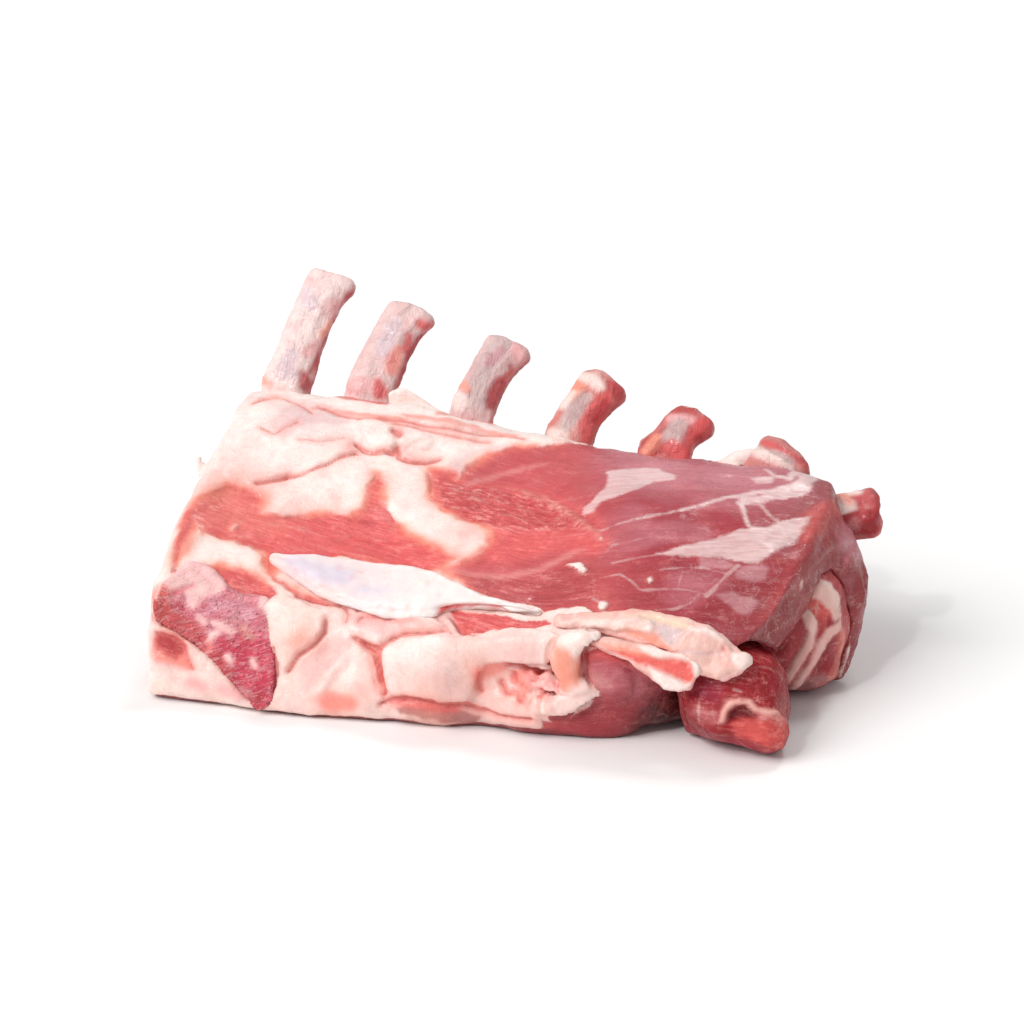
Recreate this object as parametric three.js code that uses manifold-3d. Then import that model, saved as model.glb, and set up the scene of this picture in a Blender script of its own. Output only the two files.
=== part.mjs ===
// A raw rack of lamb: a wedge of meat and fat that stands on its flat underside, with the eye of
// the loin running through it, seven curved ribs up its back, the sawn chine bone at its front left
// corner, the tip of the shoulder blade's cartilage in its top and two loose strips of fat.
//
// Millimetres, +Z up. X runs along the spine, from the shoulder end (-X) to the end with the loose
// muscles (+X). The sawn spine side faces -Y, and the bared rib ends point up and back, to +Y.
import * as THREE from "three";
import { mergeVertices } from "three/addons/utils/BufferGeometryUtils.js";
import Module from "manifold-3d";

const wasm = await Module();
wasm.setup();

// ---------------------------------------------------------------- driving dimensions
const GAP = 0.3; // left between pieces that lie against each other

// The body's profile, one value for each station along X.
const STATIONS = [-80, -50, -20, 10, 40, 52, 64, 76, 100];
const PROFILE = {
  frontFootY: [-51.5, -54, -52.5, -48, -46.5, -43.5, -38, -34, -30],
  frontWaistY: [-50, -49, -49.5, -48, -45, -44, -41, -37, -34],
  frontTopY: [-45.5, -44, -45, -46, -45, -45, -44, -42, -38],
  frontTopZ: [34, 29.5, 28, 29, 31, 32, 31.5, 31, 33],
  crown: [2.0, 1.5, 0.5, 2.5, 4.5, 5.0, 5.0, 5.0, 4.0],
  backTopY: [31, 32, 33, 33, 33, 33, 33, 33, 32],
  backTopZ: [63, 62.5, 61, 57, 54.5, 54, 54, 54, 45],
  backWaistY: [15, 15, 15, 15, 15, 16, 17, 18, 19],
  backFootY: [8, 8, 8, 8, 8, 9, 10, 11, 12],
  undersideZ: [0, 0, 0, 0, 0, 0, 13, 19, 23], // of the overhang's front edge
  hollowZ: [0, 0, 0, 0, 0, 0, 12, 24, 38], // of the hollow between the overhang and the rib wall
};
const BACK_SHARES = [0.35, 0.62]; // the back's two middle corners, as shares of its height
const BODY_LEFT = -79.5;
const BODY_RIGHT = 89;
const END_ROUND = 3; // how far the body's ends are rounded over
const FACE_SHARES = [0, 0.4, 0.75, 0.94]; // sizes of the rings that close each end
// The loose end isn't square: how far it reaches past BODY_RIGHT at each depth.
const LOOSE_DEPTHS = [-46, -28, -10, 5, 20, 34];
const LOOSE_REACH = [-10, 1.5, 5, 6.5, 7, 3];
const RIB_WALL_REACH = 8.5; // the rib wall under the overhang runs this much further still
const LOOSE_CENTRE = [19, 38]; // y and z that the loose end's face closes on
const BODY_ROWS = 45;

// Fat and muscle that bulge: centre, reach along each axis, and height.
const LOBES = [
  { at: [-80, -16, 40], reach: [8, 30, 16], height: 3.6 }, // the cut face at the shoulder end
  { at: [-80, -44, 20], reach: [8, 14, 22], height: 2.2 },
  { at: [-58, 18, 56], reach: [22, 16, 12], height: 2.6 }, // fat over the first two ribs
  { at: [-28, 22, 58], reach: [14, 8, 8], height: 2.2 }, // gland fat
  { at: [-14, 20, 57], reach: [8, 6, 7], height: 2.0 },
  { at: [-34, -2, 46], reach: [26, 10, 9], height: 1.8 }, // fat below the crease
  { at: [44, -6, 48], reach: [30, 24, 14], height: 2.4 }, // the long back muscle
  { at: [18, -26, 36], reach: [24, 9, 8], height: 1.6 },
  { at: [-37, -49, 21], reach: [9, 8, 10], height: 2.8 }, // fat pillows on the sawn side
  { at: [-9, -47, 27], reach: [13, 6, 6], height: 1.8 },
  { at: [0, -50, 14], reach: [13, 8, 12], height: 3.8 },
  { at: [23, -48, 25], reach: [13, 7, 6], height: 2.2 },
  { at: [30, -47, 8], reach: [13, 8, 6], height: 3.2 },
  { at: [38, -47, 24], reach: [6, 6, 8], height: 3.4 }, // curled lip of fat
  { at: [-72, -50, 8], reach: [9, 8, 9], height: 1.8 },
];

// Creases between them: two ends, half width and depth.
const CREASES = [
  { from: [-74, 6, 50], to: [-38, 12, 52], half: 2.4, depth: 2.6 }, // under the fat pad
  { from: [-38, 12, 52], to: [-14, 15, 54], half: 2.6, depth: 1.8 },
  { from: [-76, -14, 40], to: [-20, -16, 38], half: 5.5, depth: 2.2 }, // red hollow
  { from: [-4, 10, 49], to: [20, -6, 44], half: 6, depth: 2.4 }, // hollow by the torn muscle
  { from: [-29, -50, 26], to: [-39, -50, 13], half: 2.0, depth: 1.8 }, // between fat pillows
  { from: [-20, -50, 23], to: [-13, -52, 17], half: 2.2, depth: 3.2 },
  { from: [-13, -52, 17], to: [-11, -54, 2], half: 2.2, depth: 4.2 },
  { from: [-14, -51, 21], to: [6, -49, 25], half: 2.2, depth: 2.6 },
  { from: [4, -44, 34], to: [14, -46, 28], half: 4.0, depth: 2.4 }, // red notch in the edge
  { from: [19, -49, 17], to: [42, -47, 15], half: 3.2, depth: 5.0 }, // sawn hollow with pores
  { from: [43.5, -46, 29], to: [42.5, -46, 15], half: 1.7, depth: 3 }, // right of the curled lip
  { from: [-10, 27, 61], to: [60, 27, 57], half: 2.6, depth: 1.2 }, // along the rib ends
];
const UNEVENNESS = 0.5; // small waves all over

// The ribs, each from x along the spine to the x, y and z of its bared end. Spread is how much wider
// a rib is where it leaves the meat, on the shoulder side.
const RIBS = [
  { x: -70, tip: [-62.3, 53, 89.4], width: 13.2, thick: 8.4, flare: 1.1, roll: -0.3, spread: 0.6 },
  { x: -44.8, tip: [-37.2, 51, 82.2], width: 12.8, thick: 8.0, flare: 1.16, roll: -0.3, spread: 2 },
  { x: -13.5, tip: [-7, 48, 75], width: 11.4, thick: 7.8, flare: 1.2, roll: -0.28, spread: 2.6 },
  { x: 15.6, tip: [22.4, 45.5, 67], width: 11.6, thick: 7.6, flare: 1.3, roll: -0.22, spread: 3 },
  { x: 44.5, tip: [49.2, 42.5, 60], width: 12.2, thick: 7.4, flare: 1.12, roll: -0.14, spread: 4.4 },
  { x: 72, tip: [76.6, 40.5, 52.4], width: 12.8, thick: 7, flare: 1.46, roll: -0.3, spread: 1 },
  { x: 88, tip: [103, 31.5, 42], width: 12.5, thick: 11, flare: 1.1, roll: 0, spread: 0 },
];
const RIB_DEPTH = 0.8; // a rib's centre line lies this far inside the back
const RIB_EDGE_DROP = 3.5; // below the back's top edge, where a rib leaves the meat
const LAST_RIB_EDGE = [93, 28.5, 39.5]; // the last rib turns out through the loose end
const BARED = 0.66; // share of a rib's length where it starts to flare
const RIB_FOOT_SHARE = 0.84; // its width at the foot
const EDGE_SHARE = 0.63; // share of its length that lies below the meat's edge
const SPREAD_SPAN = 0.14; // share of a rib's length over which it spreads, round the meat's edge

// ---------------------------------------------------------------- small tools
const lerp = THREE.MathUtils.lerp;
const smoothstep = THREE.MathUtils.smoothstep;
const vector = (p) => new THREE.Vector3(...p);

// A smooth curve through a value at each place, level past its ends.
function through(places, values) {
  const curve = new THREE.CubicInterpolant(places, values, 1, new Float32Array(1));
  return (place) => curve.evaluate(THREE.MathUtils.clamp(place, places[0], places.at(-1)))[0];
}

const profileCurves = Object.fromEntries(
  Object.entries(PROFILE).map(([name, values]) => [name, through(STATIONS, values)]),
);
const profile = (name, x) => profileCurves[name](x);

// A closed skin of rows of points, laid over a sphere's faces: the first and last rows are its poles.
function skin(around, rows, pointAt) {
  const geometry = new THREE.SphereGeometry(1, around, rows);
  const positions = geometry.attributes.position;
  for (let row = 0; row <= rows; row++) {
    for (let column = 0; column <= around; column++) {
      const p = pointAt(column % around, row);
      positions.setXYZ(row * (around + 1) + column, p.x, p.y, p.z);
    }
  }
  return closed(geometry);
}

// The geometry with only its positions, its shared points merged and its faces pointing out.
function closed(geometry) {
  geometry.deleteAttribute("normal");
  geometry.deleteAttribute("uv");
  const merged = mergeVertices(geometry, 1e-3);
  if (signedVolume(merged) < 0) {
    const order = merged.index.array;
    for (let i = 0; i < order.length; i += 3) [order[i], order[i + 1]] = [order[i + 1], order[i]];
  }
  return merged;
}

function signedVolume(geometry) {
  const positions = geometry.attributes.position;
  const [a, b, c] = [new THREE.Vector3(), new THREE.Vector3(), new THREE.Vector3()];
  let sum = 0;
  for (let i = 0; i < geometry.index.count; i += 3) {
    a.fromBufferAttribute(positions, geometry.index.getX(i));
    b.fromBufferAttribute(positions, geometry.index.getX(i + 1));
    c.fromBufferAttribute(positions, geometry.index.getX(i + 2));
    sum += a.dot(b.cross(c)) / 6;
  }
  return sum;
}

// Moves each point along its normal by what relief gives for it, and keeps it above the lowest z.
function carve(geometry, relief, lowest = 0) {
  geometry.computeVertexNormals();
  const positions = geometry.attributes.position;
  const point = new THREE.Vector3();
  const normal = new THREE.Vector3();
  for (let i = 0; i < positions.count; i++) {
    point.fromBufferAttribute(positions, i);
    normal.fromBufferAttribute(geometry.attributes.normal, i);
    point.addScaledVector(normal, relief(point, normal));
    positions.setXYZ(i, point.x, point.y, Math.max(point.z, lowest));
  }
  geometry.deleteAttribute("normal");
  return geometry;
}

const solid = (geometry) =>
  new wasm.Manifold(
    new wasm.Mesh({
      numProp: 3,
      vertProperties: geometry.attributes.position.array,
      triVerts: new Uint32Array(geometry.index.array),
    }),
  );

// The room that a piece needs in its neighbours: the piece, larger by the gap, and open below.
const roomFor = (geometry) => solid(carve(geometry.clone(), (p) => (p.z < 0.01 ? 2 : 1.15) * GAP, -1));

// The solid's largest body as a three.js geometry.
function geometryOf(body) {
  const largest = body.decompose().sort((a, b) => b.volume() - a.volume())[0];
  const { vertProperties, triVerts } = largest.getMesh();
  return new THREE.BufferGeometry()
    .setAttribute("position", new THREE.BufferAttribute(vertProperties, 3))
    .setIndex(new THREE.BufferAttribute(triVerts, 1));
}

// A limb swept along a path. Each row is [share of the path, share of the section's size, push past it].
// size(t) gives half the width, along side, and half the thickness; square rounds (2) or squares (4) it.
// Its sections are square to the path, or all face the same way.
function limb({ path, rows, around, side, size, square = 2.3, facing }) {
  const curve = new THREE.CatmullRomCurve3(path.map(vector));
  const rounded = (c) => Math.sign(c) * Math.abs(c) ** (2 / square);
  const pointAt = (column, row) => {
    const [t, share, push] = rows[row];
    const centre = curve.getPoint(t);
    const along = facing ? vector(facing) : curve.getTangent(t);
    const across = vector(side).addScaledVector(along, -vector(side).dot(along)).normalize();
    const out = new THREE.Vector3().crossVectors(across, along);
    const [halfWidth, halfThick] = size(t);
    const angle = (2 * Math.PI * column) / around;
    return centre
      .addScaledVector(along, push)
      .addScaledVector(across, share * halfWidth * rounded(Math.cos(angle)))
      .addScaledVector(out, share * halfThick * rounded(Math.sin(angle)));
  };
  return skin(around, rows.length - 1, pointAt);
}

// Rows for a limb: its shaft at the shares of its path in stops, and its ends rounded over.
function rowsOf(stops, round, shares = [0, 0.55, 0.85]) {
  const inset = (share) => round * (1 - Math.sqrt(1 - share ** 2));
  const shaft = stops.map((t, i) => [t, 1, i === 0 ? round : i === stops.length - 1 ? -round : 0]);
  const start = shares.map((share) => [0, share, inset(share)]);
  const finish = shares.map((share) => [1, share, -inset(share)]).reverse();
  return [...start, ...shaft, ...finish];
}

const evenly = (count) => Array.from({ length: count }, (_, i) => i / (count - 1));

// Small waves that make a surface look cut and handled, different for each phase.
const waves = (p, phase, scale = 1) =>
  Math.sin(p.x * 0.31 * scale + phase) * Math.sin(p.y * 0.37 * scale + 1.7 * phase) +
  0.6 * Math.sin(p.z * 0.53 * scale + 0.9 * p.x * 0.2 * scale + 2.3 * phase) +
  0.4 * Math.sin(p.x * 0.71 * scale - p.y * 0.59 * scale + p.z * 0.43 * scale + phase);

// ---------------------------------------------------------------- the body
const bellAt = (p, at, reach) =>
  Math.exp(-0.5 * at.reduce((sum, c, i) => sum + ((p.getComponent(i) - c) / (0.6 * reach[i])) ** 2, 0));

function creaseAt(p, { from, to, half, depth }) {
  const line = new THREE.Line3(vector(from), vector(to));
  const distance = line.closestPointToPoint(p, true, new THREE.Vector3()).distanceTo(p);
  return -depth * Math.exp(-((distance / half) ** 2));
}

function bodyRelief(p) {
  const bulge = LOBES.reduce((sum, lobe) => sum + lobe.height * bellAt(p, lobe.at, lobe.reach), 0);
  const cuts = CREASES.reduce((sum, crease) => sum + creaseAt(p, crease), 0);
  return bulge + cuts + UNEVENNESS * waves(p, 0.4);
}

// The outline at x, as [y, z] corners, each with the number of steps to the next corner.
function outlineAt(x) {
  const value = (name) => profile(name, x);
  const floor = value("undersideZ");
  const frontTop = [value("frontTopY") + 6, value("frontTopZ")];
  const backTop = [value("backTopY") - 6, value("backTopZ")];
  const shoulderY = lerp(value("backTopY"), value("backWaistY"), 0.55);
  const onTop = (share, lift) => [
    lerp(frontTop[0], backTop[0], share),
    lerp(frontTop[1], backTop[1], share) + lift * value("crown"),
  ];
  return [
    { at: [value("frontFootY") + 3, floor - 1], steps: 2 },
    { at: [value("frontFootY") - 0.5, floor + 3], steps: 3 },
    { at: [value("frontWaistY"), lerp(floor, value("frontTopZ"), 0.5)], steps: 3 },
    { at: [value("frontTopY"), value("frontTopZ") - 5], steps: 3 },
    { at: frontTop, steps: 6 },
    { at: onTop(0.33, 0.9), steps: 6 },
    { at: onTop(0.66, 1), steps: 6 },
    { at: backTop, steps: 3 },
    { at: [value("backTopY"), value("backTopZ") - 5], steps: 3 },
    { at: [shoulderY, BACK_SHARES[1] * value("backTopZ")], steps: 3 },
    { at: [value("backWaistY"), BACK_SHARES[0] * value("backTopZ")], steps: 3 },
    { at: [value("backFootY"), 4], steps: 2 },
    { at: [value("backFootY") - 4, -1], steps: 3 },
    { at: [lerp(value("frontFootY"), value("backFootY"), 0.7), value("hollowZ") - 1], steps: 3 },
  ];
}

const looseReach = through(LOOSE_DEPTHS, LOOSE_REACH);

function bodyGeometry() {
  const corners = outlineAt(0);
  const shares = corners.flatMap(({ steps }, i) =>
    Array.from({ length: steps }, (_, step) => (i + step / steps) / corners.length),
  );
  // Rows: each end's face in rings that shrink to a point, and the long middle.
  const inset = (share) => END_ROUND * (1 - Math.sqrt(1 - share ** 2));
  const rows = [
    ...FACE_SHARES.map((share) => ({ x: BODY_LEFT + inset(share), share })),
    ...evenly(BODY_ROWS).map((t) => ({
      x: lerp(BODY_LEFT + END_ROUND, BODY_RIGHT - END_ROUND, t),
      share: 1,
    })),
    ...FACE_SHARES.map((share) => ({ x: BODY_RIGHT - inset(share), share })).reverse(),
  ];
  const rings = rows.map(({ x, share }) => {
    const outline = outlineAt(x).map(({ at: [y, z] }) => new THREE.Vector3(x, y, z));
    const curve = new THREE.CatmullRomCurve3(outline, true);
    const loose = x > 0;
    const centre = loose
      ? new THREE.Vector3(x, ...LOOSE_CENTRE)
      : outline.reduce((sum, p) => sum.add(p), new THREE.Vector3()).divideScalar(outline.length);
    return shares.map((t) => {
      const p = curve.getPoint(t).lerp(centre, 1 - share);
      const wall = RIB_WALL_REACH * smoothstep(p.y, 2, 12) * (1 - smoothstep(p.z, 26, 48));
      p.x += smoothstep(x, 45, BODY_RIGHT) * (looseReach(p.y) + wall);
      return p;
    });
  });
  return carve(
    skin(shares.length, rows.length - 1, (column, row) => rings[row][column]),
    bodyRelief,
  );
}

// ---------------------------------------------------------------- bones
// A rib from its foot by the chine up the back to its bared end, which is sawn off.
function ribGeometry({ x, tip, width, thick, flare, roll, spread }) {
  const top = profile("backTopZ", x);
  const inside = (name) => profile(name, x) - RIB_DEPTH;
  const turnsOut = tip[0] > LAST_RIB_EDGE[0];
  const edge = turnsOut ? LAST_RIB_EDGE : [x + 0.8 - spread / 2, inside("backTopY"), top - RIB_EDGE_DROP];
  const bend = edge.map((value, i) => lerp(value, tip[i], 0.5));
  bend[2] += 0.08 * (tip[2] - edge[2]);
  bend[0] -= 0.06 * (tip[0] - edge[0]);
  const path = [
    [x - 1.5, inside("backFootY") - 0.5, 6.5],
    [x - 1, inside("backWaistY"), BACK_SHARES[0] * top],
    [lerp(x, edge[0], 0.4), lerp(inside("backWaistY"), edge[1], 0.45), BACK_SHARES[1] * top],
    edge,
    bend,
    tip,
  ];
  const size = (t) => {
    const open = lerp(1, flare, smoothstep(t, BARED, 1) ** 1.4);
    const narrow = lerp(RIB_FOOT_SHARE, 1, smoothstep(t, 0, 0.3));
    const spreading = spread * Math.exp(-(((t - EDGE_SHARE) / SPREAD_SPAN) ** 2));
    return [(narrow * open * width + spreading) / 2, (lerp(1, open, 0.6) * thick) / 2];
  };
  const foot = [[0, 0, -2], [0, 0.7, -1.4]];
  const shaft = evenly(10).map((t) => [t, 1, 0]);
  // The sawn end is worn round, and its marrow lies a little deeper.
  const sawnEnd = [[1, 0.88, 1.3], [1, 0.6, 1.9], [1, 0.3, 1.2], [1, 0, 0.9]];
  const rows = [...foot, ...shaft, ...sawnEnd];
  const rib = limb({ path, rows, around: 10, side: [1, 0, roll], size, square: 2.5 });
  const phase = x * 0.13;
  return carve(rib, (p) => 0.35 * waves(p, phase, 1.6));
}

// The lens of cartilage at the end of the shoulder blade, tilted into the top.
const BLADE = {
  path: [
    [-51.5, -29.8, 34.4], [-43, -31.4, 34], [-33, -33.6, 32.8], [-20, -35.4, 31.6],
    [-7, -36.2, 31.2], [4, -36.8, 31.4], [15, -37.6, 31.2], [28, -37.6, 30.6],
  ],
  halfWidths: [0.6, 3.6, 6.6, 8.4, 7.8, 4.2, 1.7, 1.0],
  halfThick: 2.2,
};

// ---------------------------------------------------------------- soft pieces that show apart
const EYE = {
  path: [
    [-83.5, -18, 20], [-44, -18, 17.5], [-6, -18, 17], [34, -17, 16.5],
    [57, -12.5, 14], [68, -28, 13.5], [80, -32.5, 12.5], [92, -35, 10.5],
  ],
  halfWidths: [17, 19, 19.5, 18, 11, 17.5, 17, 13.5],
  halfHeights: [12.5, 13, 13, 13, 13, 14, 12.8, 9.5],
  stops: [0, 0.15, 0.3, 0.45, 0.57, 0.64, 0.7, 0.76, 0.82, 0.88, 0.94, 1],
  tip: { at: [93.5, -47, 4.5], reach: [9, 10, 8], height: 4 },
};
const END_MUSCLE = {
  path: [[58, 2, 13], [72, 1, 15], [86, 1, 17.5], [101, 3, 17.5]],
  halfWidths: [9, 12, 14, 11.5],
  halfHeights: [10, 14, 17.2, 14.5],
};
const UPPER_STRIP = {
  path: [
    [32, -42.2, 30.8], [44, -42.8, 32], [56, -43.8, 32.5],
    [67, -45, 30.7], [75.5, -45.6, 27.2], [83, -45.8, 25.4],
  ],
  halfWidths: [1.2, 2.8, 4.4, 5.6, 6, 2.8],
  halfThick: 1.3,
  side: [0, 0.55, 0.85],
};
const LOWER_STRIP = {
  path: [
    [42, -46, 28.5], [51, -47.5, 27.5], [59, -48.5, 25.2],
    [65.5, -49, 23.6], [71.2, -49.5, 22.4],
  ],
  halfWidths: [1.2, 2.2, 3.4, 4.8, 3.6],
  halfThick: 1.8,
  side: [0, 0.45, 1],
};

// Half sizes along a limb, from a value at each of its path's points.
function sizes(widths, heights) {
  const ends = evenly(widths.length);
  const [width, height] = [through(ends, widths), through(ends, heights)];
  return (t) => [width(t), height(t)];
}

function eyeGeometry() {
  const { path, halfWidths, halfHeights, stops, tip } = EYE;
  const eye = limb({
    path, rows: rowsOf(stops, 3), around: 20, side: [0, 1, 0], facing: [1, 0, 0],
    size: sizes(halfWidths, halfHeights),
  });
  // Only its loose end shows: that is uneven, and swells into a tip.
  const relief = (p) =>
    0.9 * smoothstep(p.x, 55, 75) * waves(p, 2.1, 0.8) + tip.height * bellAt(p, tip.at, tip.reach);
  return carve(eye, relief);
}

function endMuscleGeometry() {
  const { path, halfWidths, halfHeights } = END_MUSCLE;
  const muscle = limb({
    path, rows: rowsOf(evenly(8), 5), around: 18, side: [0, 1, 0], facing: [1, 0, 0],
    size: sizes(halfWidths, halfHeights),
  });
  return carve(muscle, (p) => 1.3 * waves(p, 0.7, 0.9));
}

function bladeGeometry() {
  const { path, halfWidths, halfThick } = BLADE;
  return limb({
    path, rows: rowsOf(evenly(12), 0.4, [0]), around: 10, side: [0, 1, 0.42],
    size: sizes(halfWidths, halfWidths.map(() => halfThick)),
  });
}

function stripGeometry({ path, halfWidths, halfThick, side }) {
  const strip = limb({
    path, rows: rowsOf(evenly(10), 0.8, [0, 0.8]), around: 10, side, square: 3,
    size: sizes(halfWidths, halfWidths.map(() => halfThick)),
  });
  return carve(strip, (p) => 0.35 * waves(p, 3.3, 2));
}

// The sawn chine bone at the front left corner: its outline on the sawn side, as [x, z], and its depth.
const CHINE_CORNERS = [
  [-76.5, 27], [-74, 30.5], [-70.5, 33.2], [-66, 32.2], [-61, 28.8], [-55, 26.4], [-48.5, 26.6],
  [-45.5, 21], [-43.9, 13], [-43.2, 6], [-46, 2.6], [-54, 8.4], [-62, 14.2], [-70.3, 19.3], [-76, 22.4],
];
const CHINE_BACK_Y = -38;
const CHINE_REACH = 24; // from its back to well past the sawn side
const CHINE_PROUD = 0.5; // it stands this much out of the soft meat round it

function chineBlock(grow = 0) {
  const corners = [...CHINE_CORNERS, CHINE_CORNERS[0]].map(([x, z]) => new THREE.Vector2(x, z));
  const shape = new THREE.Shape(new THREE.SplineCurve(corners).getPoints(30));
  const plate = new THREE.ExtrudeGeometry(shape, {
    depth: CHINE_REACH + grow,
    bevelEnabled: grow > 0,
    bevelThickness: 0.01,
    bevelSize: grow,
    bevelSegments: 1,
  });
  plate.rotateX(Math.PI / 2);
  plate.translate(0, CHINE_BACK_Y + grow, 0);
  return solid(closed(plate));
}

// ---------------------------------------------------------------- assembly
const MATERIALS = {
  meat: { color: 0xc9626a, roughness: 0.5 },
  eye: { color: 0xa5484c, roughness: 0.45 },
  bone: { color: 0xd9bcb8, roughness: 0.5 },
  sawn: { color: 0xb9626c, roughness: 0.65 },
  cartilage: { color: 0xf0e6ea, roughness: 0.3 },
  fat: { color: 0xf1cfc4, roughness: 0.45 },
};

function piece(name, material, geometry) {
  const finish = new THREE.MeshStandardMaterial({ ...MATERIALS[material], metalness: 0 });
  const mesh = new THREE.Mesh(geometry, finish);
  mesh.name = name;
  mesh.geometry.computeVertexNormals();
  return mesh;
}

const geometries = {
  ribs: RIBS.map(ribGeometry),
  eye: eyeGeometry(),
  endMuscle: endMuscleGeometry(),
  blade: bladeGeometry(),
  upperStrip: stripGeometry(UPPER_STRIP),
  lowerStrip: stripGeometry(LOWER_STRIP),
};
const ribRoom = geometries.ribs.map(roomFor).reduce((all, room) => all.add(room));
const eyeRoom = roomFor(geometries.eye);

const body = solid(bodyGeometry());
const chine = body.translate([0, -CHINE_PROUD, 0]).intersect(chineBlock());
const meat = body
  .subtract(ribRoom)
  .subtract(eyeRoom)
  .subtract(roomFor(geometries.endMuscle))
  .subtract(roomFor(geometries.blade))
  .subtract(roomFor(geometries.upperStrip))
  .subtract(roomFor(geometries.lowerStrip))
  .subtract(chineBlock(GAP));
const eye = solid(geometries.eye).subtract(ribRoom).subtract(chineBlock(GAP));
const endMuscle = solid(geometries.endMuscle).subtract(eyeRoom).subtract(ribRoom);
const upperStrip = solid(geometries.upperStrip)
  .subtract(roomFor(geometries.lowerStrip))
  .subtract(eyeRoom);

const rack = new THREE.Group();
rack.add(
  piece("meat", "meat", geometryOf(meat)),
  piece("eye_of_loin", "eye", geometryOf(eye)),
  piece("end_muscle", "eye", geometryOf(endMuscle)),
  piece("chine_bone", "sawn", geometryOf(chine)),
  piece("blade_cartilage", "cartilage", geometries.blade),
  piece("fat_strip_upper", "fat", geometryOf(upperStrip)),
  piece("fat_strip_lower", "fat", geometries.lowerStrip),
  ...geometries.ribs.map((rib, i) => piece(`rib_${i + 1}`, "bone", rib)),
);

// The part's origin is under the middle of its outline, on the board.
const box = new THREE.Box3().setFromObject(rack);
const middle = box.getCenter(new THREE.Vector3());
rack.position.set(-middle.x, -middle.y, -box.min.z);

export default rack;
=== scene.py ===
import math

import bmesh
import bpy
import numpy as np
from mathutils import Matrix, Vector


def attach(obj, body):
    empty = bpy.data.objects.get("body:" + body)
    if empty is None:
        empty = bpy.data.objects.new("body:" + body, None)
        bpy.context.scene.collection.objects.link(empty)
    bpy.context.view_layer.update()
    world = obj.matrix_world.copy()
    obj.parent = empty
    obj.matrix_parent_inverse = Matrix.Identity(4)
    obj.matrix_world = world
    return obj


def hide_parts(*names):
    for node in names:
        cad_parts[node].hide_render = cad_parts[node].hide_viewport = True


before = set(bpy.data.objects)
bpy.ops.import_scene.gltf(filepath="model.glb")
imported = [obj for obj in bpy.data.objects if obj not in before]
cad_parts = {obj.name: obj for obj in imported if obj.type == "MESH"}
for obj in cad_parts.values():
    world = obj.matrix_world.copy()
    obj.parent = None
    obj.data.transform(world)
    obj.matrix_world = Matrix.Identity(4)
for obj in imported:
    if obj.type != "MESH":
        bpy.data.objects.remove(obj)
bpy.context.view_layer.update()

MM = 0.001
# Every measure below is in millimetres in the rack's own drawing, whose zero stands here in the part.
DRAWING_ZERO = np.array([-11.336, -0.543, 0.0])
BODY_TRIANGLES = 196000  # the most that the body of the rack may have


# ---------------------------------------------------------------- meshes
def new_object(name, data):
    """A new object in the scene for this mesh, lamp or lens."""
    made = bpy.data.objects.new(name, data)
    bpy.context.scene.collection.objects.link(made)
    return made


def mesh_from(made, name):
    """A mesh with what was made in this bmesh, which is let go."""
    mesh = bpy.data.meshes.new(name)
    made.to_mesh(mesh)
    made.free()
    return mesh


def read_out(rows, name, width, kind=float):
    """One property of a mesh's points, edges or normals, as an array with a row for each."""
    flat = np.zeros(len(rows) * width, kind)
    rows.foreach_get(name, flat)
    return flat.reshape(-1, width)


def points_of(mesh):
    """The mesh's points, in drawing millimetres."""
    return read_out(mesh.vertices, "co", 3) / MM - DRAWING_ZERO


def put_points(mesh, points):
    mesh.vertices.foreach_set("co", ((points + DRAWING_ZERO) * MM).ravel())
    mesh.update()


def normals_of(mesh):
    return read_out(mesh.vertex_normals, "vector", 3, np.float32).astype(float)


def smooth(mesh, values, rounds, share=0.5):
    """Values at the points, each drawn towards the mean of its neighbours."""
    a, b = read_out(mesh.edges, "vertices", 2, np.int64).T
    ends, others = np.concatenate([a, b]), np.concatenate([b, a])
    count = np.maximum(np.bincount(ends, minlength=len(values)), 1)
    for _ in range(rounds):
        sums = [np.bincount(ends, column[others], len(values)) for column in values.T]
        values = values + share * (np.stack(sums / count, 1) - values)
    return values


def limb_mesh(rows, around=14):
    """A closed limb through rows of (x, y, z, half width, half thickness). A row may end with the
    direction that the width lies in, which is otherwise along the spine."""
    made = bmesh.new()
    centres = [np.array(row[:3], float) for row in rows]
    turns = [2 * math.pi * k / around for k in range(around)]
    rings = []
    for i, row in enumerate(rows):
        along = centres[min(i + 1, len(rows) - 1)] - centres[max(i - 1, 0)]
        along /= np.linalg.norm(along)
        side = np.array(row[5] if len(row) > 5 else (1.0, 0.0, 0.0))
        across = side - along * side.dot(along)
        across /= np.linalg.norm(across)
        out = np.cross(across, along)
        spots = [centres[i] + across * row[3] * math.cos(t) + out * row[4] * math.sin(t) for t in turns]
        rings.append([made.verts.new((spot + DRAWING_ZERO) * MM) for spot in spots])
    for lower, upper in zip(rings, rings[1:]):
        for k in range(around):
            made.faces.new((lower[k], lower[k - 1], upper[k - 1], upper[k]))
    made.faces.new(rings[0])
    made.faces.new(reversed(rings[-1]))
    bmesh.ops.recalc_face_normals(made, faces=made.faces)
    return mesh_from(made, "limb")


def joined(meshes):
    """One mesh with all of these, and their doubled points merged."""
    made = bmesh.new()
    for mesh in meshes:
        made.from_mesh(mesh)
    bmesh.ops.remove_doubles(made, verts=made.verts, dist=0.001 * MM)
    return mesh_from(made, "joined")


def evaluated(piece):
    """The piece's mesh as its modifiers make it, with the modifiers taken off."""
    graph = bpy.context.evaluated_depsgraph_get()
    mesh = bpy.data.meshes.new_from_object(piece.evaluated_get(graph))
    piece.modifiers.clear()
    old, piece.data = piece.data, mesh
    mesh.name = piece.name
    bpy.data.meshes.remove(old)
    return mesh


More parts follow.
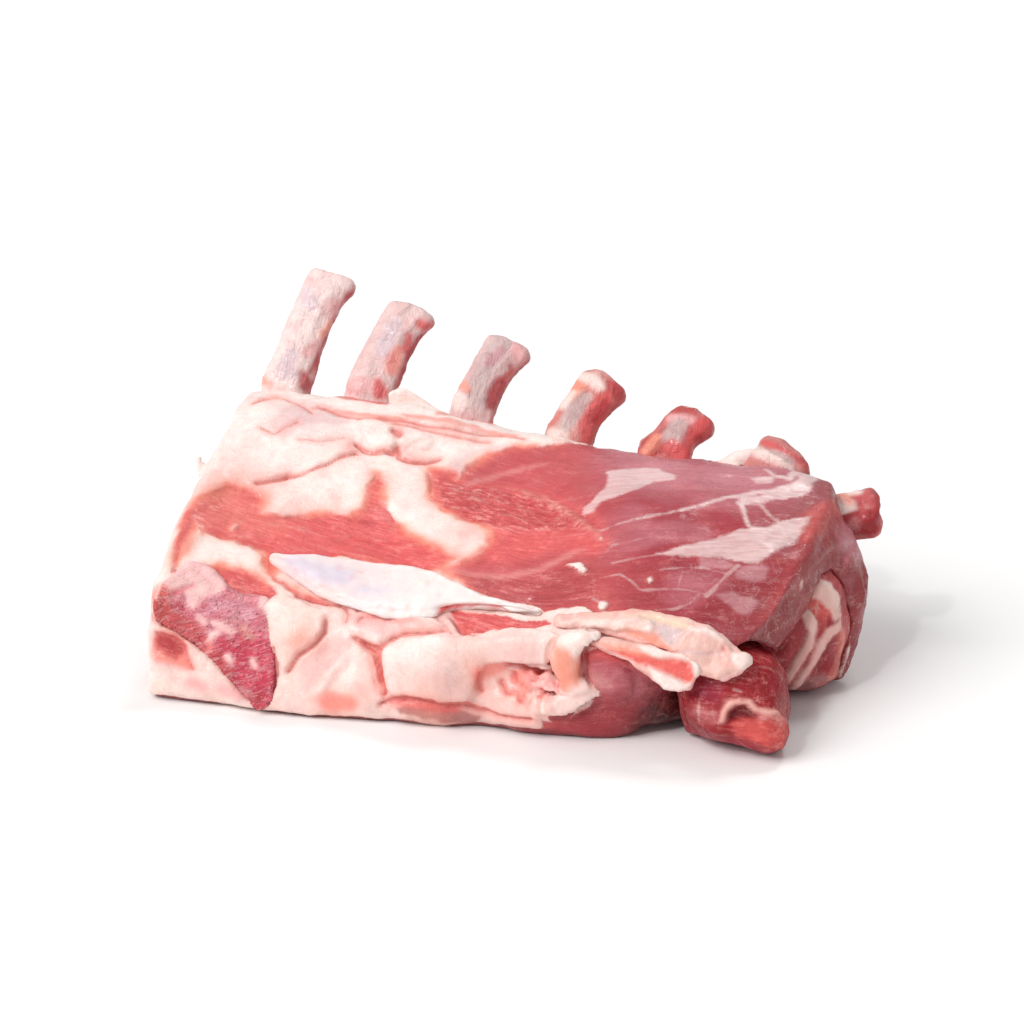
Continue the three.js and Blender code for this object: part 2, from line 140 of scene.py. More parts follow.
def thin_out(piece, spare, most):
    """Takes triangles away, first where spare is 1, until no more than most are left."""
    group = piece.vertex_groups.new(name="spare")
    for level in (0.25, 0.5, 1.0):
        group.add(np.flatnonzero(spare >= level).tolist(), level, "REPLACE")
    count = sum(face.loop_total - 2 for face in piece.data.polygons)
    thin = piece.modifiers.new("thin", "DECIMATE")
    thin.ratio = min(most / count, 1)
    thin.vertex_group = group.name
    thin.vertex_group_factor = 10
    evaluated(piece)
    piece.vertex_groups.clear()


def soft_copy(name, node, spacing, rounds, extra=(), swell=0.0, spare=None):
    """A new piece in a CAD node's shape, with its facets smoothed away and small limbs grown on.
    Its points stand spacing apart, and swell is how far it is blown up first, both in mm."""
    mesh = joined([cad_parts[node].data, *extra])
    piece = new_object(name, mesh)
    if swell:
        put_points(mesh, points_of(mesh) + swell * normals_of(mesh))
    remesh = piece.modifiers.new("even", "REMESH")
    remesh.mode = "VOXEL"
    remesh.voxel_size = spacing * MM
    remesh.use_smooth_shade = True
    even = evaluated(piece)
    put_points(even, smooth(even, points_of(even), rounds))
    if spare:
        thin_out(piece, spare(points_of(even), normals_of(even)), BODY_TRIANGLES)
        even = piece.data
    even.polygons.foreach_set("use_smooth", [True] * len(even.polygons))
    even.materials.clear()
    return piece


# ---------------------------------------------------------------- fields over a surface
OUTSIDE = -9.0  # how far inside a strand a point counts as being where it is nowhere near it, in mm
STRAND_REACH = 5.0  # how far off the surface a strand may lie and still be seen on it, in mm


def ramp(low, high, values):
    """0 where the values are at or past low, 1 at or past high, and a soft step between."""
    t = np.clip((values - low) / (high - low), 0, 1)
    return t * t * (3 - 2 * t)


def noise(points, size, seed=0):
    """Smooth noise from -1 to 1 with lumps of about this size."""
    at = points / size + seed * 17.31
    cell = np.floor(at).astype(np.int64)
    part = at - cell
    blend = part * part * part * (part * (6 * part - 15) + 10)
    total = np.zeros(len(points))
    for step in np.ndindex(2, 2, 2):
        corner = (cell + step) * (73856093, 19349663, 83492791)
        mixed = (corner[:, 0] ^ corner[:, 1] ^ corner[:, 2]) & 0x7FFFFFFF
        mixed = (mixed * 1103515245 + 12345) & 0x7FFFFFFF
        mixed ^= mixed >> 13
        turn = (mixed & 0xFFFF) / 65536 * 2 * math.pi
        height = ((mixed >> 9) & 0xFFFF) / 32768 - 1
        flat = np.sqrt(np.maximum(1 - height**2, 0))
        slope = np.stack([flat * np.cos(turn), flat * np.sin(turn), height], 1)
        weight = np.prod(np.where(step, blend, 1 - blend), 1)
        total += weight * (slope * (part - step)).sum(1)
    return total * 1.6


def strand(points, normals, rows):
    """How far each point is inside a strand of (x, y, z, radius) rows lying on the surface, in mm."""
    rows = np.array(rows, float)
    best = np.full(len(points), OUTSIDE)
    margin = rows[:, 3].max() + 8
    low, high = rows[:, :3].min(0) - margin, rows[:, :3].max(0) + margin
    near = np.all((points > low) & (points < high), axis=1)
    p, n = points[near], normals[near]
    inside = np.full(len(p), OUTSIDE)
    for a, b in zip(rows[:-1], rows[1:]) if len(rows) > 1 else [(rows[0], rows[0])]:
        line = b[:3] - a[:3]
        along = np.clip((p - a[:3]) @ line / max(line @ line, 1e-9), 0, 1)
        gap = p - (a[:3] + along[:, None] * line)
        lift = (gap * n).sum(1)
        across = np.sqrt(np.maximum((gap**2).sum(1) - lift**2, 0))
        value = a[3] + along * (b[3] - a[3]) - across
        inside = np.maximum(inside, np.where(abs(lift) < STRAND_REACH, value, OUTSIDE))
    best[near] = inside
    return best


def patch(chart, corners):
    """How far each point of a flat chart is inside the patch with these corners, in mm."""
    corners = np.array(corners, float)
    nearest = np.full(len(chart), 99.0)
    inside = np.zeros(len(chart), bool)
    for a, b in zip(corners, np.roll(corners, -1, 0)):
        line = b - a
        along = np.clip((chart - a) @ line / max(line @ line, 1e-9), 0, 1)
        nearest = np.minimum(nearest, np.hypot(*(chart - a - along[:, None] * line).T))
        crosses = (a[1] > chart[:, 1]) != (b[1] > chart[:, 1])
        rise = np.where(line[1] == 0, 1e-9, line[1])
        inside ^= crosses & (chart[:, 0] < line[0] * (chart[:, 1] - a[1]) / rise + a[0])
    return np.where(inside, nearest, -nearest)


def facing(normals, direction, low, high):
    """1 where the normals lie close to the direction, 0 where they don't: low and high are cosines."""
    direction = np.array(direction, float)
    return ramp(low, high, normals @ (direction / np.linalg.norm(direction)))


class Paint:
    """A colour at each point, built up in thin coats of the named tones."""

    def __init__(self, points, tone):
        self.colours = np.tile(TONES[tone], (len(points), 1))

    def lay(self, tone, share):
        """Lays a tone over the colours, by a share from 0 to 1 at each point."""
        self.colours += (np.array(TONES[tone]) - self.colours) * share[:, None]


class Surface:
    """A piece's points and normals, the layers painted on them, and how far each is to be raised."""

    def __init__(self, piece):
        self.piece = piece
        self.points = points_of(piece.data)
        self.normals = smooth(piece.data, normals_of(piece.data), 3)
        self.normals /= np.linalg.norm(self.normals, axis=1)[:, None]
        self.relief = np.zeros(len(self.points))

    def strand(self, rows):
        return strand(self.points, self.normals, rows)

    def strands(self, chains):
        """How far each point is inside any of these strands, in mm."""
        nowhere = np.full(len(self.points), OUTSIDE)
        return np.max([nowhere, *(self.strand(rows) for rows in chains)], axis=0)

    def dab(self, at, radius):
        """A soft round spot: 1 in its middle, and fading outwards."""
        return np.exp(-((np.linalg.norm(self.points - np.array(at), axis=1) / radius) ** 2))

    def facing(self, direction, low, high):
        return facing(self.normals, direction, low, high)

    def noise(self, size, seed, stretch=(1, 1, 1)):
        """Noise on the points, with lumps drawn out where stretch is under 1."""
        return noise(self.points * stretch, size, seed)

    def raise_by(self, heights):
        self.relief += heights

    def set_layer(self, name, kind, field, values):
        """Keeps values at the points, under the name that the materials read."""
        made = self.piece.data.attributes.new(name, kind, "POINT")
        made.data.foreach_set(field, np.asarray(values, np.float32).ravel())

    def set_number(self, name, values):
        self.set_layer(name, "FLOAT", "value", values)

    def set_vector(self, name, *parts):
        self.set_layer(name, "FLOAT_VECTOR", "vector", np.stack(parts, 1))

    def set_colour(self, name, paint):
        colours = np.clip(paint.colours, 0, 1)
        self.set_layer(name, "FLOAT_COLOR", "color", np.insert(colours, 3, 1, axis=1))

    def settle(self):
        """Moves the points by the relief, and keeps them on the board."""
        moved = self.points + self.relief[:, None] * self.normals
        moved[:, 2] = np.maximum(moved[:, 2], 0)
        put_points(self.piece.data, moved)


# ---------------------------------------------------------------- shader tools
class Output:
    """A node's output in a shader tree. Numbers are reckoned with as plain numbers are."""

    def __init__(self, socket):
        self.socket = socket

    def reckon(self, operation, *values):
        inputs = dict(enumerate(values))
        return add(self.socket.id_data, "ShaderNodeMath", inputs, 0, operation=operation)

    def __add__(self, other):
        return self.reckon("ADD", self, other)

    def __mul__(self, other):
        return self.reckon("MULTIPLY", self, other)

    def __sub__(self, other):
        return self.reckon("SUBTRACT", self, other)

    def __rsub__(self, other):
        return self.reckon("SUBTRACT", other, self)

    def __truediv__(self, other):
        return self.reckon("DIVIDE", self, other)

    def __rtruediv__(self, other):
        return self.reckon("DIVIDE", other, self)

    def __abs__(self):
        return self.reckon("ABSOLUTE", self)

    def at_least(self, other):
        return self.reckon("MAXIMUM", self, other)

    def ranged(self, low, high, to_low=0.0, to_high=1.0, soft=True):
        """The number brought from one range to another, and kept inside it."""
        ends = {"From Min": low, "From Max": high, "To Min": to_low, "To Max": to_high}
        way = "SMOOTHSTEP" if soft else "LINEAR"
        inputs = {"Value": self, **ends}
        tree = self.socket.id_data
        return add(tree, "ShaderNodeMapRange", inputs, "Result", interpolation_type=way)


def wire(value, socket):
    """Links an output to a socket, or sets the socket to a plain value."""
    if isinstance(value, Output):
        value.socket.id_data.links.new(value.socket, socket)
    else:
        socket.default_value = value


def add(tree, kind, inputs, output, **settings):
    """A new node with these inputs and settings: the one of its outputs that is asked for."""
    made = tree.nodes.new(kind)
    for name, value in settings.items():
        setattr(made, name, value)
    for name, value in inputs.items():
        wire(value, made.inputs[name])
    return Output(made.outputs[output])


def blended(share, under, over, blend="MIX"):
    """One colour over another by this share."""
    under, over = [(*tone, 1) if isinstance(tone, tuple) else tone for tone in (under, over)]
    inputs = {0: share, 6: under, 7: over}
    return add(share.socket.id_data, "ShaderNodeMix", inputs, 2, data_type="RGBA", blend_type=blend)


def between(share, under, over):
    """A number between two others by this share."""
    inputs = {0: share, 2: under, 3: over}
    return add(share.socket.id_data, "ShaderNodeMix", inputs, 0, data_type="FLOAT")


def own_place(tree):
    """Each spot's place on the piece itself."""
    return add(tree, "ShaderNodeTexCoord", {}, "Object")


def painted(tree, name, output="Fac"):
    """What was painted on the points under this name."""
    return add(tree, "ShaderNodeAttribute", {}, output, attribute_name=name)


PER_MM = 1000.0  # a texture's scale for lumps of one millimetre


def cloud(at, scale, detail=2.0, rough=0.5, warp=0.0):
    """Noise from 0 to 1, at the texture's own scale."""
    inputs = {"Vector": at, "Scale": scale, "Detail": detail, "Roughness": rough, "Distortion": warp}
    return add(at.socket.id_data, "ShaderNodeTexNoise", inputs, "Fac")


def lumps(at, size, detail=2.0, rough=0.5, warp=0.0):
    """Noise with lumps of this many millimetres."""
    return cloud(at, PER_MM / size, detail, rough, warp)


def cells(at, size, feature):
    """How far each spot is from the middle of its cell, with cells of this many millimetres."""
    inputs = {"Vector": at, "Scale": PER_MM / size, "Randomness": 1.0}
    return add(at.socket.id_data, "ShaderNodeTexVoronoi", inputs, "Distance", feature=feature)


def effect(name, inputs, outputs):
    """An empty shader node group with these inputs and outputs: its tree, and what it is given."""
    tree = bpy.data.node_groups.new(name, "ShaderNodeTree")
    for socket, value in inputs.items():
        kind = "NodeSocketVector" if value is None else "NodeSocketFloat"
        made = tree.interface.new_socket(socket, in_out="INPUT", socket_type=kind)
        if value is not None:
            made.default_value = value
    for socket in outputs:
        tree.interface.new_socket(socket, in_out="OUTPUT", socket_type="NodeSocketFloat")
    given = tree.nodes.new("NodeGroupInput").outputs
    return tree, [Output(given[socket]) for socket in inputs]


def give_out(tree, **values):
    """Ends a node group with these outputs."""
    made = tree.nodes.new("NodeGroupOutput")
    for name, value in values.items():
        wire(value, made.inputs[name])
    return tree


def place(tree, group, **inputs):
    """All outputs of an instance of the group with these inputs, by their names."""
    made = tree.nodes.new("ShaderNodeGroup")
    made.node_tree = group
    for name, value in inputs.items():
        wire(value, made.inputs[name])
    return {socket.name: Output(socket) for socket in made.outputs}


# ---------------------------------------------------------------- effects that materials share
def ragged_edge_effect():
    """Turns a depth into a tissue, in mm, into a mask whose edge wanders a little."""
    inputs = {"Depth": 0.0, "Wander": 1.0, "Softness": 0.4}
    tree, (depth, wander, softness) = effect("ragged_edge", inputs, ["Mask"])
    at = own_place(tree)
    broad = (lumps(at, 3.2, 3.0, 0.6) - 0.5) * 4.0
    fine = (lumps(at, 0.9, 2.0, 0.6) - 0.5) * 2.2
    depth = depth + (broad + fine) * wander
    return give_out(tree, Mask=depth.ranged(softness * -1.0, softness))


def fibre_grain_effect():
    """Fibres along the first of the grain's coordinates, all in mm: a tone and a height."""
    inputs = {"Grain": None, "Length": 9.0, "Width": 0.8}
    tree, (grain, length, width) = effect("fibre_grain", inputs, ["Tone", "Height"])
    parts = [add(tree, "ShaderNodeSeparateXYZ", {0: grain}, k) for k in range(3)]
    sizes = {0: parts[0] / length, 1: parts[1] / width, 2: parts[2] / width}
    at = add(tree, "ShaderNodeCombineXYZ", sizes, 0)
    fine = cloud(at, 1.0, 4.0, 0.62, 0.5)
    coarse = cloud(at, 0.36, 2.0, 0.5, 0.9)
    tone = (fine * 0.6 + coarse * 0.4).ranged(0.34, 0.66)
    return give_out(tree, Tone=tone, Height=fine.ranged(0.3, 0.7, soft=False))


def fat_grain_effect():
    """Soft lobules, faint veins and a tangle of white threads in fat: their masks and a height."""
    outputs = ["Shade", "Veins", "Web", "Height"]
    tree, (lobule,) = effect("fat_grain", {"Lobule": 1.6}, outputs)
    at = own_place(tree)
    broad = lumps(at, 7.0, 3.0, 0.55)
    small = lumps(at, 1.7, 3.0, 0.6, 0.6)
    fine = lumps(at, 0.55, 2.0, 0.6)
    lobules = cells(at, lobule, "SMOOTH_F1")
    shade = (broad * 0.4 + small * 0.35 + fine * 0.25).ranged(0.38, 0.62, soft=False)
    veins = abs(lumps(at, 7.0, 4.0, 0.62, 1.2) - 0.5).ranged(0.014, 0.0)
    web = abs(lumps(at, 5.0, 3.0, 0.6, 0.5) - 0.5).ranged(0.022, 0.0)
    height = small * 0.8 + lobules * 0.3 + fine * 0.35
    return give_out(tree, Shade=shade, Veins=veins, Web=web, Height=height)


def wet_sheen_effect():
    """How wet a cut surface is: a roughness from dry to wet, and a share of clear coat."""
    inputs = {"Dry": 0.5, "Wet": 0.3, "Patch": 6.0}
    tree, (dry, wet, size) = effect("wet_sheen", inputs, ["Roughness", "Film"])
    share = lumps(own_place(tree), size, 4.0, 0.65).ranged(0.38, 0.62)
    return give_out(tree, Roughness=between(share, dry, wet), Film=share * 0.16)


def spongy_bone_effect():
    """Sawn bone: small dark pores, pale crumbs and a height."""
    tree, (pore,) = effect("spongy_bone", {"Pore": 0.8}, ["Pores", "Crumbs", "Height"])
    at = own_place(tree)
    open_share = lumps(at, 3.0, 4.0, 0.65, 0.8).ranged(0.42, 0.62)
    pores = cells(at, pore, "F1").ranged(0.42, 0.12) * open_share
    fine = lumps(at, 0.9, 3.0, 0.6)
    return give_out(tree, Pores=pores, Crumbs=fine.ranged(0.56, 0.70), Height=fine - pores)


RAGGED_EDGE = ragged_edge_effect()
FIBRE_GRAIN = fibre_grain_effect()
FAT_GRAIN = fat_grain_effect()
WET_SHEEN = wet_sheen_effect()
SPONGY_BONE = spongy_bone_effect()


# ---------------------------------------------------------------- materials
FILM_TONE = (0.86, 0.67, 0.65)
THREAD_TONE = (0.95, 0.46, 0.42)
# the dark red of the thin cracks in the creases: partly their own red, partly painted shade
CRACK_RED_AND_SHADE = (0.70, 0.19, 0.17)
FIBRE_SHADE = (0.66, 0.44, 0.48)
LOBE_SHADE = (0.78, 0.52, 0.56)
# the painted highlight laid on the muscle's lighter patches
LOBE_HIGHLIGHT = (0.98, 0.40, 0.34)
FAT_SHADE = (0.94, 0.74, 0.70)
VEIN_TONE = (0.84, 0.42, 0.38)
BLUSH = (1.0, 0.4, 0.3)  # how far red, green and blue light reach under the surface


def new_material(name, subsurface=0.0, reach=0.0, specular=0.3):
    """An empty material and its principled shader, with everything that is the same all over."""
    material = bpy.data.materials.new(name)
    material.use_nodes = True
    tree = material.node_tree
    shader = tree.nodes["Principled BSDF"]
    even = {
        "Subsurface Weight": subsurface, "Subsurface Radius": BLUSH, "Subsurface Scale": reach * MM,
        "Specular IOR Level": specular, "Coat Roughness": 0.12,
    }
    for socket, value in even.items():
        shader.inputs[socket].default_value = value
    return material, tree, shader


def dress(tree, shader, colour, height, relief, dry, wet, patch_size):
    """Gives the shader its colour, its wet sheen and its bumps, which stand up by relief in mm."""
    sheen = place(tree, WET_SHEEN, Dry=dry, Wet=wet, Patch=patch_size)
    inputs = {"Height": height, "Distance": relief * MM, "Strength": 1.0}
    wire(colour, shader.inputs["Base Color"])
    wire(sheen["Roughness"], shader.inputs["Roughness"])
    wire(sheen["Film"], shader.inputs["Coat Weight"])
    wire(add(tree, "ShaderNodeBump", inputs, "Normal"), shader.inputs["Normal"])


def fibres(tree, length, width):
    """Fibres of this length and width, in mm, along the painted grain."""
    return place(tree, FIBRE_GRAIN, Grain=painted(tree, "grain", "Vector"), Length=length, Width=width)


def flesh_material(name, fibre_contrast=0.34, wander=0.4, veil=0.8, gloss=0.3):
    """Muscle, with fat, thin white skin, white threads and dark cracks where they are painted."""
    material, tree, shader = new_material(name, subsurface=0.15, reach=2.0, specular=gloss)
    torn = painted(tree, "torn")
    long_grain = fibres(tree, 10.0, 0.75)
    short_grain = fibres(tree, 3.0, 0.85)
    ripped = torn.ranged(0.5, 0.95)
    fibre = between(ripped, long_grain["Tone"], short_grain["Tone"])
    ridges = between(ripped, long_grain["Height"], short_grain["Height"])
    lobes = place(tree, FAT_GRAIN, Lobule=1.8)

    def mask(layer, swing, softness):
        depth = painted(tree, layer)
        return place(tree, RAGGED_EDGE, Depth=depth, Wander=swing, Softness=softness)["Mask"]

    fat = mask("fat", wander, painted(tree, "soft"))
    film = mask("film", 0.5, veil)
    thread = mask("thread", 0.10, 0.35)
    crack = mask("crack", 0.12, 0.32)
    # Darker between the fibres and the lobes, and pale threads on top where the muscle is torn.
    shaded = 1.0 - lobes["Shade"]
    dark = (1.0 - fibre) * (torn * 0.35 + fibre_contrast)
    muscle = blended(dark, painted(tree, "tone", "Color"), FIBRE_SHADE, "MULTIPLY")
    mottled = torn.ranged(0.0, 0.5, 0.35, 0.75)
    muscle = blended(shaded * mottled, muscle, LOBE_SHADE, "MULTIPLY")
    # Painted highlight: a bright red laid where the lobe noise is high, as light on the wet muscle.
    muscle = blended(lobes["Shade"].ranged(0.6, 1.0) * mottled * 0.35, muscle, LOBE_HIGHLIGHT)
    pale = fibre.ranged(0.60, 1.0) * torn.ranged(0.0, 1.0, 0.07, 0.9) * lobes["Shade"]
    muscle = blended(pale, muscle, THREAD_TONE)
    muscle = blended(lobes["Web"] * painted(tree, "web"), muscle, FILM_TONE)
    fatty = blended(shaded * 0.60, painted(tree, "fat_tone", "Color"), FAT_SHADE, "MULTIPLY")
    fatty = blended(lobes["Veins"] * 0.30, fatty, VEIN_TONE)
    # The layers, one over the other: muscle, fat, thin skin, threads and cracks. The cracks' dark red is
    # partly painted shade.
    colour = blended(fat, muscle, fatty)
    streaks = fibre.ranged(0.0, 1.0, 0.54, 0.76)
    colour = blended(film * streaks, colour, FILM_TONE)
    colour = blended(thread * streaks * 0.55, colour, FILM_TONE)
    colour = blended(crack * 0.65, colour, CRACK_RED_AND_SHADE)
    bare = 1.0 - fat.at_least(film * 0.6)
    cut = ridges * torn.ranged(0.0, 1.0, 0.30, 1.0) * bare
    height = cut + lobes["Height"] * fat * 0.8 + fat.at_least(film) * 0.4 - crack * 0.5
    dress(tree, shader, colour, height, relief=0.35, dry=0.44, wet=0.26, patch_size=5.0)
    return material


def sawn_bone_material(name):
    """Blood-pink sawn bone, with pale gristle where it is painted."""
    material, tree, shader = new_material(name, subsurface=0.12, reach=1.6)
    sponge = place(tree, SPONGY_BONE, Pore=0.95)
    grain = fibres(tree, 4.0, 0.7)
    solid = painted(tree, "solid")
    loose = 1.0 - solid
    tone = painted(tree, "tone", "Color")
    # Painted highlight: pale pink streaks along the grain.
    tone = blended(grain["Tone"].ranged(0.45, 0.9) * 0.35, tone, (1.0, 0.62, 0.66))
    tone = blended(sponge["Pores"] * loose * 0.6, tone, (0.60, 0.06, 0.11))
    tone = blended(sponge["Crumbs"] * loose * 0.40, tone, (0.98, 0.62, 0.60))
    height = (sponge["Height"] + grain["Height"]) * solid.ranged(0.0, 1.0, 1.0, 0.25)
    dress(tree, shader, tone, height, relief=0.55, dry=0.55, wet=0.32, patch_size=3.0)
    return material


def bared_bone_material(name):
    """Scraped rib bone, with what is left of its thin skin."""
    material, tree, shader = new_material(name, subsurface=0.12, reach=1.8)
    at = own_place(tree)
    grain = fibres(tree, 6.0, 0.9)
    skin = lumps(at, 4.5, 3.0, 0.6, 0.7).ranged(0.40, 0.66)
    fleck = lumps(at, 1.6, 3.0, 0.65, 0.5).ranged(0.60, 0.72)
    tone = painted(tree, "tone", "Color")
    pale = add(tree, "ShaderNodeSeparateColor", {0: tone}, "Green").ranged(0.15, 0.5)
    tone = blended(skin * 0.30, tone, (0.80, 0.62, 0.66), "MULTIPLY")
    tone = blended(grain["Tone"] * pale * 0.18, tone, (0.97, 0.86, 0.82))
    tone = blended(fleck * pale * 0.28, tone, (0.76, 0.24, 0.24))
    height = grain["Height"] * 0.5 + skin
    dress(tree, shader, tone, height, relief=0.25, dry=0.48, wet=0.28, patch_size=4.0)
    return material


def gristle_material(name):
    """Smooth wet blade cartilage."""
    material, tree, shader = new_material(name, subsurface=0.25, reach=3.0)
    at = own_place(tree)
    haze = lumps(at, 6.0, 3.0, 0.5, 0.6).ranged(0.36, 0.68) * 0.22
    tone = blended(haze, painted(tree, "tone", "Color"), (0.90, 0.80, 0.86), "MULTIPLY")
    dress(tree, shader, tone, lumps(at, 2.4), relief=0.12, dry=0.36, wet=0.22, patch_size=8.0)
    return material


FLESH = flesh_material("rack_flesh")
LOIN_FLESH = flesh_material("loin_flesh", fibre_contrast=0.45, wander=0.25, veil=0.35, gloss=0.12)
STRIP_FAT = flesh_material("strip_fat", wander=0.25, veil=0.5)
SAWN_BONE = sawn_bone_material("sawn_bone")
BARED_BONE = bared_bone_material("bared_bone")
GRISTLE = gristle_material("blade_gristle")


# ---------------------------------------------------------------- tones, patches and strands
# The tones of fat, muscle, skin, bone and blood.
TONES = {
    "white_fat": (0.97, 0.87, 0.83), "cream": (0.95, 0.76, 0.7), "pink_fat": (0.86, 0.55, 0.52),
    "lilac": (0.7, 0.53, 0.57), "bluish": (0.7, 0.63, 0.74), "greyish": (0.56, 0.41, 0.4),
    "rose": (0.86, 0.42, 0.42), "peach": (0.93, 0.6, 0.5), "haze": (0.95, 0.29, 0.24),
    "orange": (0.91, 0.33, 0.23), "salmon": (0.86, 0.33, 0.28), "red": (0.72, 0.11, 0.11),
    "tip": (0.8, 0.15, 0.13), "blood": (0.5, 0.05, 0.06), "wine": (0.4, 0.05, 0.09),
    "deep": (0.26, 0.035, 0.04), "brown": (0.32, 0.045, 0.05), "muscle": (0.63, 0.118, 0.124),
    "fresh": (0.9, 0.17, 0.165), "silverskin": (0.41, 0.048, 0.068), "veil": (0.66, 0.27, 0.31),
    "dusk": (0.38, 0.045, 0.055), "pale": (0.9, 0.42, 0.38), "loin": (0.42, 0.02, 0.028),
    "bone": (0.95, 0.74, 0.68), "marrow": (0.88, 0.36, 0.28), "crimson": (0.74, 0.075, 0.125),
    "faint_skin": (0.76, 0.46, 0.49), "ember": (1, 0.26, 0.18), "mauve": (0.55, 0.26, 0.29),
    "sawn_pink": (0.9, 0.38, 0.45), "sawn": (0.82, 0.2, 0.27), "cap": (0.9, 0.6, 0.57),
    "gristle": (0.88, 0.74, 0.73), "grey_film": (0.7, 0.59, 0.61), "yellow_fat": (0.88, 0.7, 0.53),
    "lobe_pink": (0.84, 0.54, 0.48), "rose_fat": (0.8, 0.42, 0.37), "rim": (0.92, 0.56, 0.5),
    "shadow": (0.06, 0.004, 0.006), "ivory": (0.9, 0.7, 0.67), "blushed_bone": (0.79, 0.55, 0.53),
    "dull_bone": (0.7, 0.45, 0.44), "red_bone": (0.64, 0.21, 0.18), "dark_bone": (0.5, 0.09, 0.085),
    "rosy_bone": (0.62, 0.22, 0.2), "raw_bone": (0.34, 0.022, 0.027),
}
# Each bared rib's own tone, from the shoulder end to the loose end.
RIB_TONES = (
    "ivory", "blushed_bone", "dull_bone", "red_bone", "dark_bone", "rosy_bone", "raw_bone",
)
KNOBBED_RIBS = 5  # the ribs whose ends flare out, counted from the shoulder end

